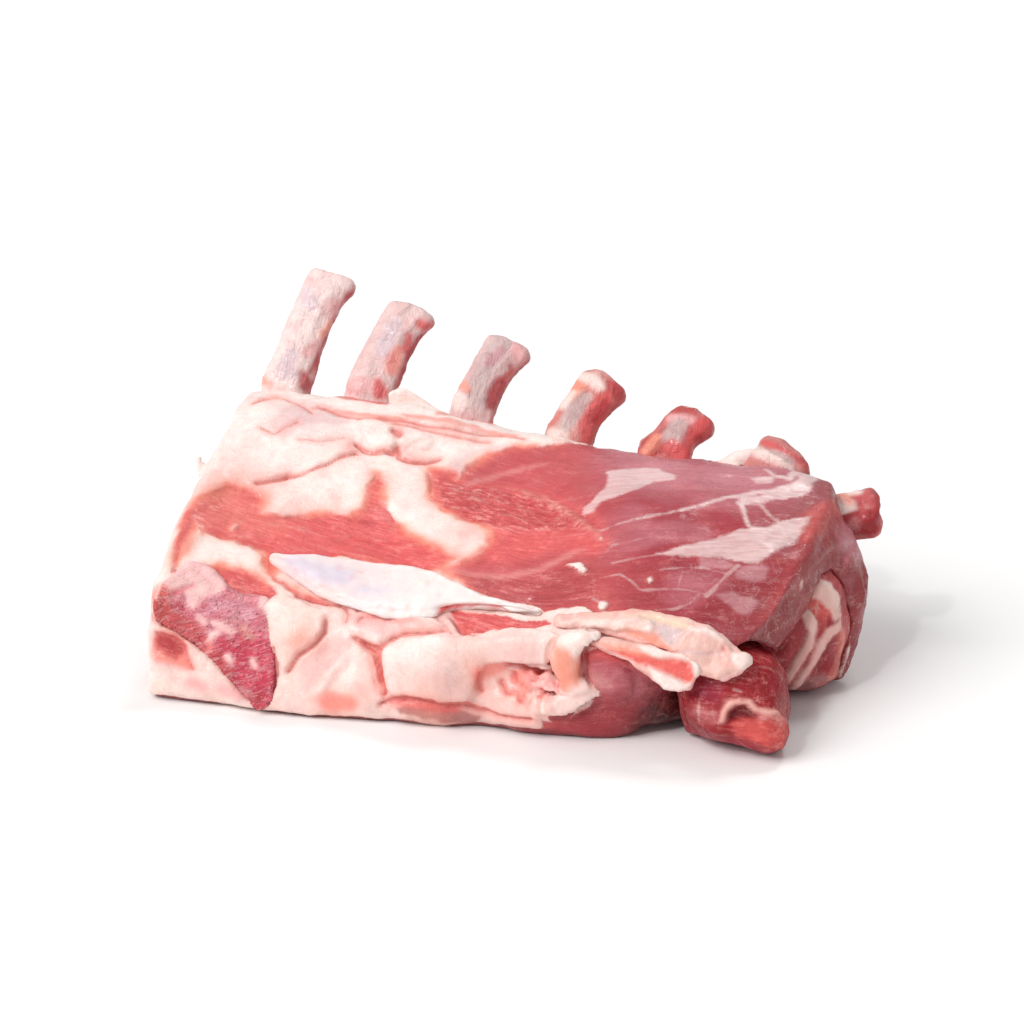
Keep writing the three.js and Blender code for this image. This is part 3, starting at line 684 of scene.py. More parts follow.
# Patches of muscle and of thin skin, as corners on the chart that unrolls the sawn side and the top:
# x along the spine, and y + z up the sawn side and on over the top.
PATCHES = {
    "shoulder_muscle": [
        (-75.5, -9), (-76.5, 2.5), (-78.5, 17), (-76, 26), (-73, 31.5), (-70.5, 36.5), (-64, 36),
        (-60, 33.5), (-59, 27), (-52.5, 26), (-43, 30), (-34.5, 31), (-31, 34.5), (-31.5, 41.5),
        (-31, 51.5), (-27.5, 46.5), (-25.5, 35.5), (-21.5, 30.5), (-16.5, 24.5), (-9, 20), (-0.5, 13.5),
        (-3.5, 9), (-9.5, 4.5), (-20, 8.5), (-32.5, 10), (-42, 5.5), (-51.5, 5), (-48, -3.5), (-40, -8.5),
        (-25.5, -14), (-36.5, -11.5), (-44.5, -8), (-50.5, -2.5), (-54, 7.5), (-62.5, 10), (-70.5, 10.5),
        (-73.5, 15), (-74, 6), (-74.5, -8.5),
    ],
    "loin_muscle": [
        (-17.5, 58.5), (-14, 58), (-10, 57.5), (-9, 54.5), (-7.5, 61), (-3, 69), (3, 74), (12, 77),
        (22, 84), (31, 96), (55, 99), (65.5, 97), (72.5, 96), (80.5, 92), (87.5, 84), (94, 78), (106, 70),
        (106, 50), (103, 30), (99, 10), (94, -6), (84, -20), (77.5, -15), (70.5, -11), (65, -8), (57, -3),
        (52.5, -8.5), (47.5, -10.5), (44, -7.5), (38.5, -3), (33, -4), (29, -6.5), (24.5, -8), (19, -8),
        (13, -5.5), (8, -3), (4, 2), (-0.5, 6.5), (-3.5, 9), (2, 12), (5, 16.5), (6.5, 22.5), (6.5, 29),
        (2.5, 32.5), (-4, 34.5), (-9.5, 37.5), (-13.5, 42.5), (-16, 49.5),
    ],
    "rim_muscle": [
        (2.5, -7.5), (4, -6), (6, -7.5), (7.5, -5.5), (10, -5), (14, -7.5), (18.5, -10.5), (23, -12),
        (29, -10.5), (31, -12.5), (27, -15), (20, -16.5), (14.5, -17), (11, -19), (8.5, -19), (5.5, -16),
        (2.5, -10.5),
    ],
    "chine_muscle": [
        (-67.5, -5), (-63, -2.5), (-58, -2.5), (-53, -4.5), (-47.5, -8.5), (-46, -11.5), (-49, -15.5),
        (-52.5, -16.5), (-56, -15.5), (-59, -13.5), (-61.5, -10.5), (-63, -8.5), (-65.5, -6),
    ],
    "corner_muscle": [
        (-76.5, -34), (-74.5, -32.5), (-71, -32.5), (-68.5, -34), (-67.5, -37), (-70, -40), (-73, -39.5),
        (-76, -37.5),
    ],
    "tail_muscle": [
        (40.5, -19), (44.5, -17), (52.5, -18), (66, -16), (80, -14), (80, -60), (28, -60), (31, -44),
        (35.5, -42), (40, -37), (43.5, -33), (41, -29.5), (39.5, -26), (39.5, -25),
    ],
    "lilac_film": [
        (32, 65), (34, 67.5), (40.5, 70), (46, 70.5), (52, 66), (52, 63), (46, 62.5), (44.5, 58.5),
        (40.5, 53.5), (37, 49.5), (34.5, 46), (33, 41), (31, 40), (29.5, 44), (31.5, 47), (33.5, 53),
        (33.5, 59),
    ],
    "leaf_film": [
        (53.5, 23.5), (61.5, 29.5), (67.5, 34.5), (73.5, 40), (79.5, 43.5), (85, 49.5), (90.5, 52.5),
        (89.5, 47.5), (88.5, 41), (86, 35.5), (82.5, 30), (80, 26), (77, 25), (71.5, 26), (65, 25),
        (58.5, 23),
    ],
    "window_film": [(76, 23.5), (79.5, 25.5), (83, 25), (83, 19.5), (79.5, 18), (75, 18)],
    "low_film": [(71.5, 9), (75, 11), (80.5, 10.5), (82, 9.5), (81.5, 5.5), (79, 3.5), (75, 6)],
    "faint_film": [(65, 24.5), (70, 25.5), (74.5, 24.5), (72, 21.5), (66, 19.5)],
    "rib_film": [
        (65, 90), (70, 96), (78, 98), (84, 92), (87.5, 78), (88.25, 67.75), (85.75, 62.75), (79.75, 59.25),
        (71.25, 52.75), (69.75, 55.25), (76.5, 62), (82.75, 66.25), (85, 69.25), (83.5, 74), (80, 80),
        (75, 84), (70, 84), (66.5, 81),
    ],
    "inner_film": [(71.5, 71), (73.75, 73), (77.25, 72.75), (77, 68.5), (73, 68)],
    "torn": [
        (-16.5, 55), (-10.5, 54), (-3.5, 53), (9, 54.5), (17, 51), (24, 45.5), (32.5, 41), (36, 36.5),
        (39, 26), (37.5, 20.5), (27.5, 22), (17.5, 15.5), (9.5, 13.5), (5.5, 18.5), (6.5, 27.5),
        (-0.5, 33.5), (-10, 37),
    ],
    "fibrous_band": [
        (1, 6.5), (8, 5.5), (19, 7), (29, 13.5), (36.5, 17), (40, 12), (42, 0), (37, -3), (28, -6),
        (21.5, -7.5), (14, -4.5), (7, -1.5),
    ],
    "pillow": [
        (-46.5, -15), (-43.5, -12), (-38, -12), (-34, -14), (-31, -18.5), (-30, -22.5), (-30.5, -26),
        (-33, -29.5), (-36.5, -33.5), (-38.5, -37), (-40.5, -40), (-42.5, -36), (-45, -29), (-47, -22),
    ],
}
# Muscles in the cut shoulder end, as corners in y and z.
END_MUSCLES = [
    [(-40, 25), (-28, 33), (-12, 37), (4, 36), (10, 31), (2, 29), (-14, 33), (-28, 29), (-38, 22)],
    [(4, 28), (12, 24), (18, 32), (24, 44), (27, 54), (21, 57), (14, 47), (8, 38)],
    [(-6, 43), (8, 46), (16, 53), (6, 52), (-4, 47)],
    [(-46, 4), (-40, 3), (-38, 12), (-42, 18), (-47, 14)],
    [(-30, 2), (-8, 2), (2, 6), (-4, 8), (-18, 6)],
]
# Strands on the surface: rows of x, y, z and radius.
STRANDS = {
    "band": [
        [
            (87, 22.7, 53.5, 2.4), (83.7, 15.2, 53.1, 1.8), (77.7, 10.7, 52.9, 1.5), (72.2, 8, 52.5, 1.5),
            (66.7, 4.3, 52.3, 1), (61.1, -1.5, 51.5, 0.9), (54, -6.4, 50.5, 0.7), (46.6, -9.7, 49.2, 0.6),
            (39.6, -12.5, 46.9, 0.4), (36.7, -14, 45.5, 0.3),
        ],
        [
            (81.5, 35.2, 52.9, 1.8), (76.3, 32.4, 54.2, 1.5), (72.5, 30.7, 53.2, 1.2),
            (69.5, 31.2, 53.7, 0.6),
        ],
        [(82.8, 36.2, 50.3, 1.5), (81.8, 18.1, 54.3, 1.5), (77.3, 19.8, 54.1, 0.9), (73.9, 23, 54.5, 0.9)],
        [
            (71.5, 7.3, 52.3, 1.5), (71.7, 2.4, 51.2, 1.2), (73.4, -1.8, 50, 0.9), (75.2, -6.3, 48.9, 0.9),
            (76.5, -7.2, 48, 0.9),
        ],
        [(72.9, 10.2, 52.9, 0.9), (76.1, 5.3, 51.2, 0.6), (79.3, 0.1, 49.9, 0.6), (82.3, -1.5, 48.8, 0.6)],
    ],
    "seam": [
        [
            (-8.7, -0.6, 47.8, 0.4), (-4, 5.7, 49.3, 0.4), (2, 9.8, 50.6, 0.4), (7.4, 11.1, 52.1, 0.4),
            (14.1, 12.8, 53.9, 0.4),
        ],
        [
            (-1, -27.6, 35.7, 0.4), (5.2, -29.5, 35.9, 0.4), (13.5, -29.7, 36, 0.4),
            (21.3, -27.9, 37.6, 0.4), (28.4, -23.9, 40.5, 0.4), (33.3, -19.8, 42.4, 0.4),
        ],
    ],
    "thread": [
        [(75.1, -18.4, 42.1, 0.7), (72.6, -22.7, 40.3, 0.7), (70.8, -26.7, 38.3, 0.7), (69, -29, 37, 0.7)],
        [
            (68.9, -28.7, 37.2, 0.4), (64.6, -28.6, 37.8, 0.4), (58.1, -29.2, 37.6, 0.4),
            (51.8, -30.5, 37.1, 0.4), (49.1, -28.4, 38.2, 0.4), (45.3, -26.4, 39.3, 0.4),
            (40.3, -27.9, 38.2, 0.3),
        ],
        [
            (67.3, -28.8, 37.3, 0.4), (65.4, -32, 35.5, 0.4), (61.9, -34, 34.2, 0.4),
            (55.8, -35.9, 33.7, 0.3),
        ],
        [
            (53.3, -26, 40.6, 0.3), (60.6, -22.8, 41.3, 0.4), (66.9, -21.1, 41.4, 0.4),
            (72.4, -21.6, 40.7, 0.4),
        ],
        [(61.8, -23.5, 40.8, 0.3), (61.4, -26.3, 39.3, 0.3), (61.6, -29.3, 37.7, 0.3)],
        [
            (38.8, -22.1, 41.5, 0.3), (41.2, -18.5, 44.2, 0.3), (45.8, -17.3, 45.3, 0.4),
            (51.9, -14.8, 46.5, 0.3),
        ],
        [(42.3, -22.9, 40.8, 0.4), (49.6, -21.8, 42.9, 0.3), (54.6, -20.5, 43.7, 0.3)],
        [(40, -34.1, 34.9, 0.4), (43.1, -35.4, 34.1, 0.5), (47, -35.1, 34.4, 0.3)],
    ],
    "white_rim": [
        [
            (3, -37, 33.5, 1.6), (10.4, -38.3, 33, 1.5), (17.6, -39.4, 32.2, 1.5), (24.4, -39.6, 31.2, 1.5),
            (30.5, -39.8, 30.6, 1.4), (36, -41, 31, 1.2),
        ],
        [(-11, -43.7, 28.3, 1.2), (-3, -42.8, 28.6, 1.8), (1, -42, 28.6, 0.9)],
    ],
    "speck": [
        [(31, -25.6, 40, 0.4), (33.8, -25.7, 40.1, 1.5)],
        [(35.1, -26.6, 39.4, 1.2)],
        [(43.2, -35.9, 33.7, 1.5)],
        [(37.8, -16.1, 44.4, 0.3)],
        [(53.7, -27.7, 39, 0.6)],
        [(-64.6, -23.8, 39.7, 0.7), (-64, -22.4, 40.2, 0.6)],
    ],
    "torn_ridge": [
        [
            (10.1, 3.7, 48.4, 0.5), (17.6, 0.3, 48, 0.8), (24.6, -4.6, 46.9, 0.9), (31.9, -11.4, 46, 0.7),
            (37, -15.2, 44.8, 0.4),
        ],
    ],
    "ridge": [
        [
            (-29.5, -52.7, 7.6, 0.5), (-26.1, -49.9, 12.6, 0.6), (-22.4, -48.3, 17, 0.6),
            (-19.2, -47.6, 19.9, 0.5),
        ],
    ],
}
# Soft tints: the tone, where, and how wide.
TINTS = [
    ("haze", (-69, -13, 45), 8.7), ("haze", (-63, -13, 45), 6.7), ("haze", (-74, -20, 44), 5.3),
    ("haze", (-31, -1, 50), 3), ("haze", (-40, -14, 41), 5.3), ("haze", (-8, -22, 38), 5.3),
    ("haze", (1, -26, 37), 4), ("haze", (-11, -4, 47), 4.7), ("haze", (0, -13, 42), 4.7),
    ("haze", (-49, -14, 42), 3.3), ("lilac", (-60, 14, 61), 6), ("lilac", (-55, 13, 60), 4.7),
    ("lilac", (-47, 16, 60), 3.3), ("blood", (-29, 15, 58), 1.7), ("blood", (-2.7, -2.5, 47.3), 3.2),
    ("blood", (25, -10.5, 45.5), 2.2), ("red", (-11.5, 5.7, 50.6), 3), ("blood", (-29, 10, 54), 1.3),
    ("haze", (-41, 8, 55), 3), ("haze", (-23, 9, 53), 3), ("haze", (-69, 20, 63), 2.7),
    ("haze", (-71, 28, 64), 2), ("orange", (-71, -16, 45), 4.7), ("orange", (-35, -49, 20), 4.7),
    ("orange", (-25, -53, 5), 6), ("orange", (1, -53, 8), 5.3), ("orange", (13, -48, 18), 4.7),
    ("blood", (-73, -52, 15), 4), ("blood", (30, -44, 16), 2), ("blood", (40, -47, 23), 1.7),
]
# Flaps and pads of fat: how far each stands out, and its corners on the same chart.
FLAPS = {
    "pillow": (1.3, [
        (-48, -15.5), (-46, -13.5), (-43, -12), (-39, -13), (-35.5, -14.5), (-32.5, -16.5), (-30, -20),
        (-30, -24), (-31.5, -27.5), (-33.5, -31), (-36, -33), (-37, -35.5), (-38.5, -38), (-40, -40.5),
        (-41.5, -36.5), (-43.5, -32.5), (-45, -27.5), (-47, -22),
    ]),
    "wrinkled lump": (0.9, [
        (-24.5, -19), (-24.5, -14.5), (-21.5, -14), (-15.5, -13), (-10, -14), (-5, -14.5), (0, -15.5),
        (2, -18.5), (-1.5, -21), (-8.5, -22), (-12, -24.5), (-14, -27), (-18, -25.5), (-21.5, -24),
        (-23.5, -22),
    ]),
    "long flap": (2, [
        (-14, -29.5), (-12, -25.5), (-8.5, -23), (-2, -21.5), (3.5, -23), (10, -20.5), (17.5, -17.5),
        (24.5, -16), (31.5, -17), (35, -19), (33.5, -22.5), (32.5, -25.5), (33, -27), (31, -26.5),
        (27.5, -26), (23.5, -26.5), (18.5, -27), (14.5, -28.5), (13, -32), (12, -37.5), (10.5, -40.5),
        (3.5, -43), (-4.5, -43), (-10, -42), (-11.5, -40.5), (-12, -36.5), (-13, -32.5),
    ]),
    "low roll": (1, [
        (27, -38.5), (29.5, -35), (34.5, -33.5), (39, -33), (42.5, -31.5), (43.5, -33.5), (40, -36),
        (37, -38.5), (34, -41.5), (31.5, -43), (29, -41.5),
    ]),
    "fat pad": (0.8, [
        (-78, 76), (-75, 81), (-65.5, 84.5), (-55, 78), (-45.5, 77), (-35.5, 77.5), (-24, 79),
        (-21.5, 71.5), (-28.5, 64.5), (-37, 63), (-41.5, 57.5), (-45, 52), (-48, 48.5), (-52, 46),
        (-56, 44), (-60, 40), (-64.5, 38.5), (-72, 40), (-76.5, 44.5), (-78, 58.5),
    ]),
    "gland": (1, [
        (-41.5, 73.5), (-39.5, 77), (-35.5, 77.5), (-31.5, 75), (-29.5, 70), (-29.5, 65), (-33, 62),
        (-37, 63), (-39.5, 65), (-41, 69.5),
    ]),
    "small gland": (0.8, [
        (-28.5, 74.5), (-25.5, 77), (-21, 76), (-18.5, 71.5), (-20, 68), (-24, 66), (-27.5, 68),
        (-28.5, 71),
    ]),
    "low gland": (0.5, [
        (-26, 64), (-22.5, 66.5), (-17.5, 67), (-15.5, 65), (-18, 62), (-23, 60.5), (-25.5, 61.5),
    ]),
    "white pad": (0.7, [
        (-29.5, 55), (-26, 59), (-20.5, 58), (-16, 52), (-13.5, 42.5), (-8.5, 35.5), (-2, 32), (4.5, 24.5),
        (6, 16.5), (2, 10.5), (-4.5, 12.5), (-12, 18.5), (-18, 24), (-22, 31), (-24.5, 39), (-27, 46),
    ]),
    "edge pad": (0.6, [
        (-73.5, 13), (-69, 11), (-64.5, 10), (-58.5, 8.5), (-54, 5), (-51, -0.5), (-46, -7), (-47.5, -10.5),
        (-53, -6), (-60, -3), (-67.5, -4), (-72.5, -6), (-74.5, -1.5), (-74, 6),
    ]),
    "band": (1, [
        (-76, -30.5), (-73.5, -29), (-70.5, -30.5), (-66, -33), (-61.5, -37), (-57.5, -41.5), (-54.5, -45),
        (-50, -49.5), (-48.5, -51), (-54, -51), (-59, -50.5), (-62, -48.5), (-64, -44), (-66.5, -41),
        (-68.5, -36.5), (-70.5, -33.5), (-73.5, -32), (-76, -32.5),
    ]),
}
# Creases: depth, tone, and a strand of x, y, z and radius. The tone laid in each crease is partly painted
# shade.
CREASES = {
    "pillow edge": (0.9, "salmon", [
        (-30, -45, 24.5, 0.4), (-30, -46.5, 22, 0.5), (-31.5, -48, 20, 0.5), (-33.5, -49, 18, 0.5),
        (-36, -50, 16.5, 0.6), (-37, -50.5, 14.5, 0.6), (-38.5, -51.5, 12, 0.4),
    ]),
    "flap edge": (1.6, "red", [
        (-19, -47, 20.5, 0.5), (-16.5, -48, 19.5, 0.8), (-14.5, -48.5, 19, 0.9), (-13.5, -49.5, 16, 0.8),
        (-12.5, -50, 13, 0.8), (-11.5, -51, 10, 0.6), (-12, -51.5, 8.5, 0.4),
    ]),
    "flap blush": (0.4, "salmon", [(-15.5, -49, 18, 1.6), (-14, -49.5, 15, 1.8), (-13, -50.5, 11.5, 1.8)]),
    "lump edge": (1, "salmon", [
        (-21.5, -46.5, 21.5, 0.4), (-17.5, -47.5, 20.5, 0.6), (-14, -48, 20, 0.8), (-11.5, -47, 22, 0.7),
        (-8, -46.5, 24, 0.6), (-1.5, -46.5, 25, 0.5), (3, -45.5, 26, 0.4),
    ]),
    "wrinkle a": (0.4, "rose", [(-17.5, -42, 25.5, 0.3), (-14, -43, 26, 0.4), (-11, -43.5, 26.5, 0.3)]),
    "wrinkle b": (0.4, "rose", [(-21.5, -44, 24.5, 0.3), (-20.5, -42.5, 25.5, 0.4), (-19, -42, 25.5, 0.3)]),
    "wrinkle c": (0.5, "rose", [(-26, -40.5, 27, 0.4), (-24.5, -42.5, 26, 0.6), (-24.5, -44, 24.5, 0.4)]),
    "wrinkle d": (0.3, "rose", [(-2, -42, 29.5, 0.3), (1.5, -42.5, 27, 0.4), (5, -46, 25.5, 0.3)]),
    "blade line a": (0.7, "red", [
        (-40.5, -39, 28.5, 0.4), (-36, -39, 28, 0.5), (-31.5, -40, 27.5, 0.5), (-27.5, -40, 27.5, 0.4),
    ]),
    "blade line b": (0.7, "red", [
        (-22.5, -42.5, 29, 0.4), (-18.5, -42.5, 30, 0.6), (-15.5, -42, 30.5, 0.7), (-11, -42, 30.5, 0.6),
        (-6, -42.5, 30, 0.4),
    ]),
    "rim line": (0.8, "wine", [
        (2.5, -40.5, 29.5, 0.5), (5, -42, 27, 0.6), (7.5, -44.5, 26, 0.6), (11, -45, 25, 0.4),
    ]),
    "lower edge": (1, "red", [
        (-13, -51.6, 5.7, 0.5), (-9, -51.5, 7.6, 0.7), (-4.3, -52.3, 8.8, 0.8), (0.3, -52.8, 8.8, 0.8),
        (5.2, -51.7, 7.8, 0.8), (9.8, -50, 7.8, 0.7), (13.4, -49.2, 6.2, 0.6), (18.7, -49.5, 5.3, 0.5),
        (27.9, -50.6, 5.8, 0.4),
    ]),
    "beside the curl": (1.2, "wine", [
        (41.6, -47.2, 26.5, 0.5), (41.2, -47.2, 23, 0.7), (41.4, -47, 19, 0.7), (42.5, -46.6, 16, 0.4),
    ]),
    "slit": (1.8, "red", [
        (20.5, -45.5, 19, 0.4), (23.5, -46, 19, 0.6), (27, -44.5, 18, 0.6), (30, -44, 16.5, 0.7),
        (32.5, -43.5, 14.5, 0.5), (36, -44.5, 14, 0.4),
    ]),
    "hole": (2, "wine", [(29, -44.5, 16.5, 0.9), (30, -43.5, 15, 1.1)]),
    "hollow a": (0.9, "haze", [(22, -45, 16, 0.7), (23, -45.5, 14.5, 1), (25, -45.5, 14, 0.9)]),
    "hollow b": (0.7, "haze", [(13, -47.5, 16.5, 0.8), (13, -48, 13.5, 1.1), (14, -48.5, 11.5, 0.8)]),
    "hollow c": (0.7, "haze", [
        (19, -46, 13.5, 0.8), (21, -48, 11.5, 0.8), (23.5, -48, 12, 0.4), (25, -49.5, 10, 0.3),
    ]),
    "hollow d": (0.6, "salmon", [(35.5, -45.5, 13, 0.8), (38.5, -44.5, 13, 0.8)]),
    "top arc": (0.5, "salmon", [
        (-73, 16, 62, 0.4), (-70.5, 18.5, 63, 0.7), (-68, 21, 63, 0.8), (-64, 20, 63, 0.6),
        (-59, 17.5, 63, 0.5), (-55, 15.5, 61.5, 0.4),
    ]),
    "top line": (0.5, "salmon", [
        (-54, 18.5, 63, 0.7), (-50.5, 18.5, 62, 1), (-47, 17.5, 61, 0.9), (-41.5, 17, 60.5, 0.6),
        (-34, 17.5, 61, 0.8), (-27, 18.5, 60.5, 0.9), (-18, 18, 60, 0.9), (-9.5, 19.5, 59, 0.8),
        (-1.5, 22.5, 57.5, 0.6), (5.5, 22.5, 57.5, 0.4),
    ]),
    "second line": (0.4, "salmon", [
        (-31, 17, 60, 0.4), (-23.5, 17, 59, 0.5), (-16, 16.5, 58.5, 0.6), (-9, 17.5, 57.5, 0.5),
        (-3.5, 19, 56.5, 0.3),
    ]),
    "gland crease": (0.8, "haze", [
        (-40, 9.5, 55, 0.4), (-37.5, 9, 54, 0.6), (-34.5, 8.5, 53.5, 0.4), (-31.5, 9.5, 54, 0.7),
        (-29, 9.5, 54, 0.9), (-28, 11.5, 55, 0.6),
    ]),
    "gland spot": (0.8, "red", [(-30.5, 15, 58.5, 0.8), (-28.5, 14.5, 57.5, 1)]),
    "crescent": (0.8, "red", [
        (-27.5, 10.5, 54.5, 0.5), (-27, 8.5, 53, 0.6), (-23.5, 8, 52.5, 0.6), (-19, 9, 52.5, 0.5),
        (-15.5, 10.5, 53, 0.4),
    ]),
    "long crease": (0.9, "salmon", [
        (-63, -9, 48, 0.3), (-60, -7.5, 48, 0.6), (-57.5, -6, 48.5, 0.7), (-55, -4, 49, 0.4),
    ]),
    "long crease end": (0.7, "salmon", [
        (-55.5, -4.5, 49, 0.4), (-51.5, -3.5, 50, 0.3), (-48, -1.5, 51, 0.3), (-45, 1, 52, 0.4),
        (-42, 4.5, 53, 0.4), (-39, 7, 53.5, 0.5),
    ]),
    "pad wrinkle": (0.4, "pink_fat", [
        (-67.5, 8, 58, 0.4), (-63, 7, 57, 0.5), (-60.5, 9, 58.5, 0.4), (-57.5, 11.5, 59.5, 0.4),
    ]),
    "pad wrinkle b": (0.3, "pink_fat", [
        (-55.5, 6.5, 56, 0.3), (-49.5, 7, 56, 0.4), (-43.5, 10, 56.5, 0.3),
    ]),
    "chine edge": (0.9, "wine", [
        (-43, -49, 17, 0.4), (-42.5, -50.5, 13, 0.6), (-42.5, -52.5, 8.5, 0.6), (-43.5, -54.5, 5, 0.7),
    ]),
    "corner cut": (0.6, "red", [
        (-76, -51, 18.5, 0.5), (-73, -50.5, 17.5, 0.7), (-70, -50, 16, 0.8), (-68, -51, 13.5, 0.6),
        (-65.5, -52.5, 10, 0.4),
    ]),
    "band edge": (0.8, "salmon", [
        (-75, -49.5, 20.5, 0.4), (-71.5, -49, 19.5, 0.6), (-67.5, -49.5, 17.5, 0.5),
        (-62.5, -50, 14.5, 0.5), (-57.5, -52, 11.5, 0.5), (-53, -53.5, 7.5, 0.5), (-49, -55, 4.5, 0.4),
    ]),
}
# Broad stains in the fat: tone, share, softness, and corners on the chart.
STAINS = [
    ("lilac", 0.5, 3, [
        (-13, 56), (-12, 64), (-7, 70), (0, 75), (8, 76), (4, 72), (-3, 67), (-8, 60), (-9, 54),
    ]),
    ("salmon", 0.75, 1.2, [
        (-56, 81), (-45, 81.2), (-33, 80.2), (-24, 79.6), (-24, 78), (-33, 78.2), (-45, 79.3), (-56, 79.6),
    ]),
    ("salmon", 0.75, 1.4, [
        (-30, 82.8), (-18, 83.2), (-8, 82.8), (3, 81.5), (3, 80), (-8, 80.4), (-18, 80.6), (-30, 81),
    ]),
    ("red", 0.8, 1.2, [(-51, 90.5), (-43, 91), (-35, 89.5), (-35, 86.6), (-43, 87.6), (-51, 87.6)]),
    ("salmon", 0.8, 1.2, [(-21, 87), (-12, 89), (-5, 89.5), (-5, 86.8), (-12, 86), (-21, 84.5)]),
    ("rose", 0.5, 2, [
        (21.5, -30), (27, -28), (33, -28.5), (38, -30.5), (37, -34), (30, -35.5), (22.5, -34),
    ]),
    ("orange", 0.75, 2, [
        (35, -24), (36.5, -22.5), (38.5, -24), (40.5, -28), (40, -33), (36.5, -34), (35, -30),
    ]),
    ("white_fat", 0.8, 1.6, [(35.5, -20), (39, -17), (45, -16.5), (45, -19.5), (41, -21.5), (37, -22.5)]),
    ("pink_fat", 0.55, 2, [
        (-65.5, 68), (-63.5, 77.5), (-59.5, 80), (-55, 77.5), (-49, 76), (-42.5, 75), (-47.5, 72),
        (-53, 71.5), (-57, 68.5), (-59, 64), (-61, 61.5),
    ]),
    ("haze", 0.85, 5, [
        (-76, 26), (-73.5, 33.5), (-68.5, 37.5), (-62.5, 36), (-58, 32.5), (-58.5, 25.5), (-65.5, 22.5),
        (-73, 19.5),
    ]),
    ("red", 0.5, 3, [(-79, 15.5), (-76, 22.5), (-72.5, 28.5), (-68.5, 23.5), (-71, 18), (-74.5, 10.5)]),
    ("rose", 0.35, 3, [
        (-36, -35), (-31, -29), (-24.5, -24), (-20.5, -27.5), (-22.5, -32.5), (-26, -40), (-29.5, -46),
        (-35, -45.5),
    ]),
    ("salmon", 0.28, 3, [
        (-22.5, -43.5), (-19.5, -34), (-16, -30.5), (-13, -33.5), (-12, -41.5), (-13, -44.5), (-21, -47),
    ]),
    ("haze", 0.45, 4, [(-31.5, -47.5), (-27, -44.5), (-21, -45), (-17.5, -47), (-21, -49), (-28, -50)]),
    ("orange", 0.35, 3, [(-37.5, -26.5), (-35, -25.5), (-33.5, -28), (-36.5, -30.5), (-40, -30.5)]),
    ("salmon", 0.45, 3, [
        (-8.5, -43), (-4.5, -41.5), (2.5, -42), (9, -41), (13.5, -41), (11, -43.5), (1, -45), (-8, -45.5),
    ]),
    ("greyish", 0.12, 6, [(1, -34.5), (11, -31), (11.5, -39), (4, -41.5), (0.5, -38.5)]),
    ("pink_fat", 0.5, 4, [(12.5, -21), (23.5, -18.5), (30.5, -19.5), (30.5, -25.5), (24, -26), (16, -26)]),
    ("red", 0.9, 1.6, [
        (-76.5, -34), (-73, -33), (-70, -35), (-68.5, -38.5), (-69.5, -40.5), (-72.5, -38.5), (-75.5, -38),
    ]),
    ("haze", 0.7, 4, [
        (-76, -37.5), (-71.5, -38), (-68, -39.5), (-65.5, -42.5), (-69, -43), (-73.5, -42), (-76, -41.5),
    ]),
    ("rose", 0.4, 3, [(-70, -47), (-66, -48), (-62, -47.5), (-62, -49.5), (-67.5, -50)]),
    ("brown", 0.7, 1.2, [
        (-8, -46), (3.5, -44.5), (11, -43.8), (14, -44.2), (11, -47), (3.5, -48), (-7.5, -48),
    ]),
    ("rose", 0.6, 3, [
        (-23.5, -18), (-20.5, -14), (-11.5, -15), (-4.5, -17), (-6.5, -20.5), (-13, -23.5), (-19, -24),
    ]),
    ("haze", 0.45, 3, [(-11.5, -17.5), (-4.5, -16), (1, -18), (-2, -21), (-8.5, -20.5)]),
]
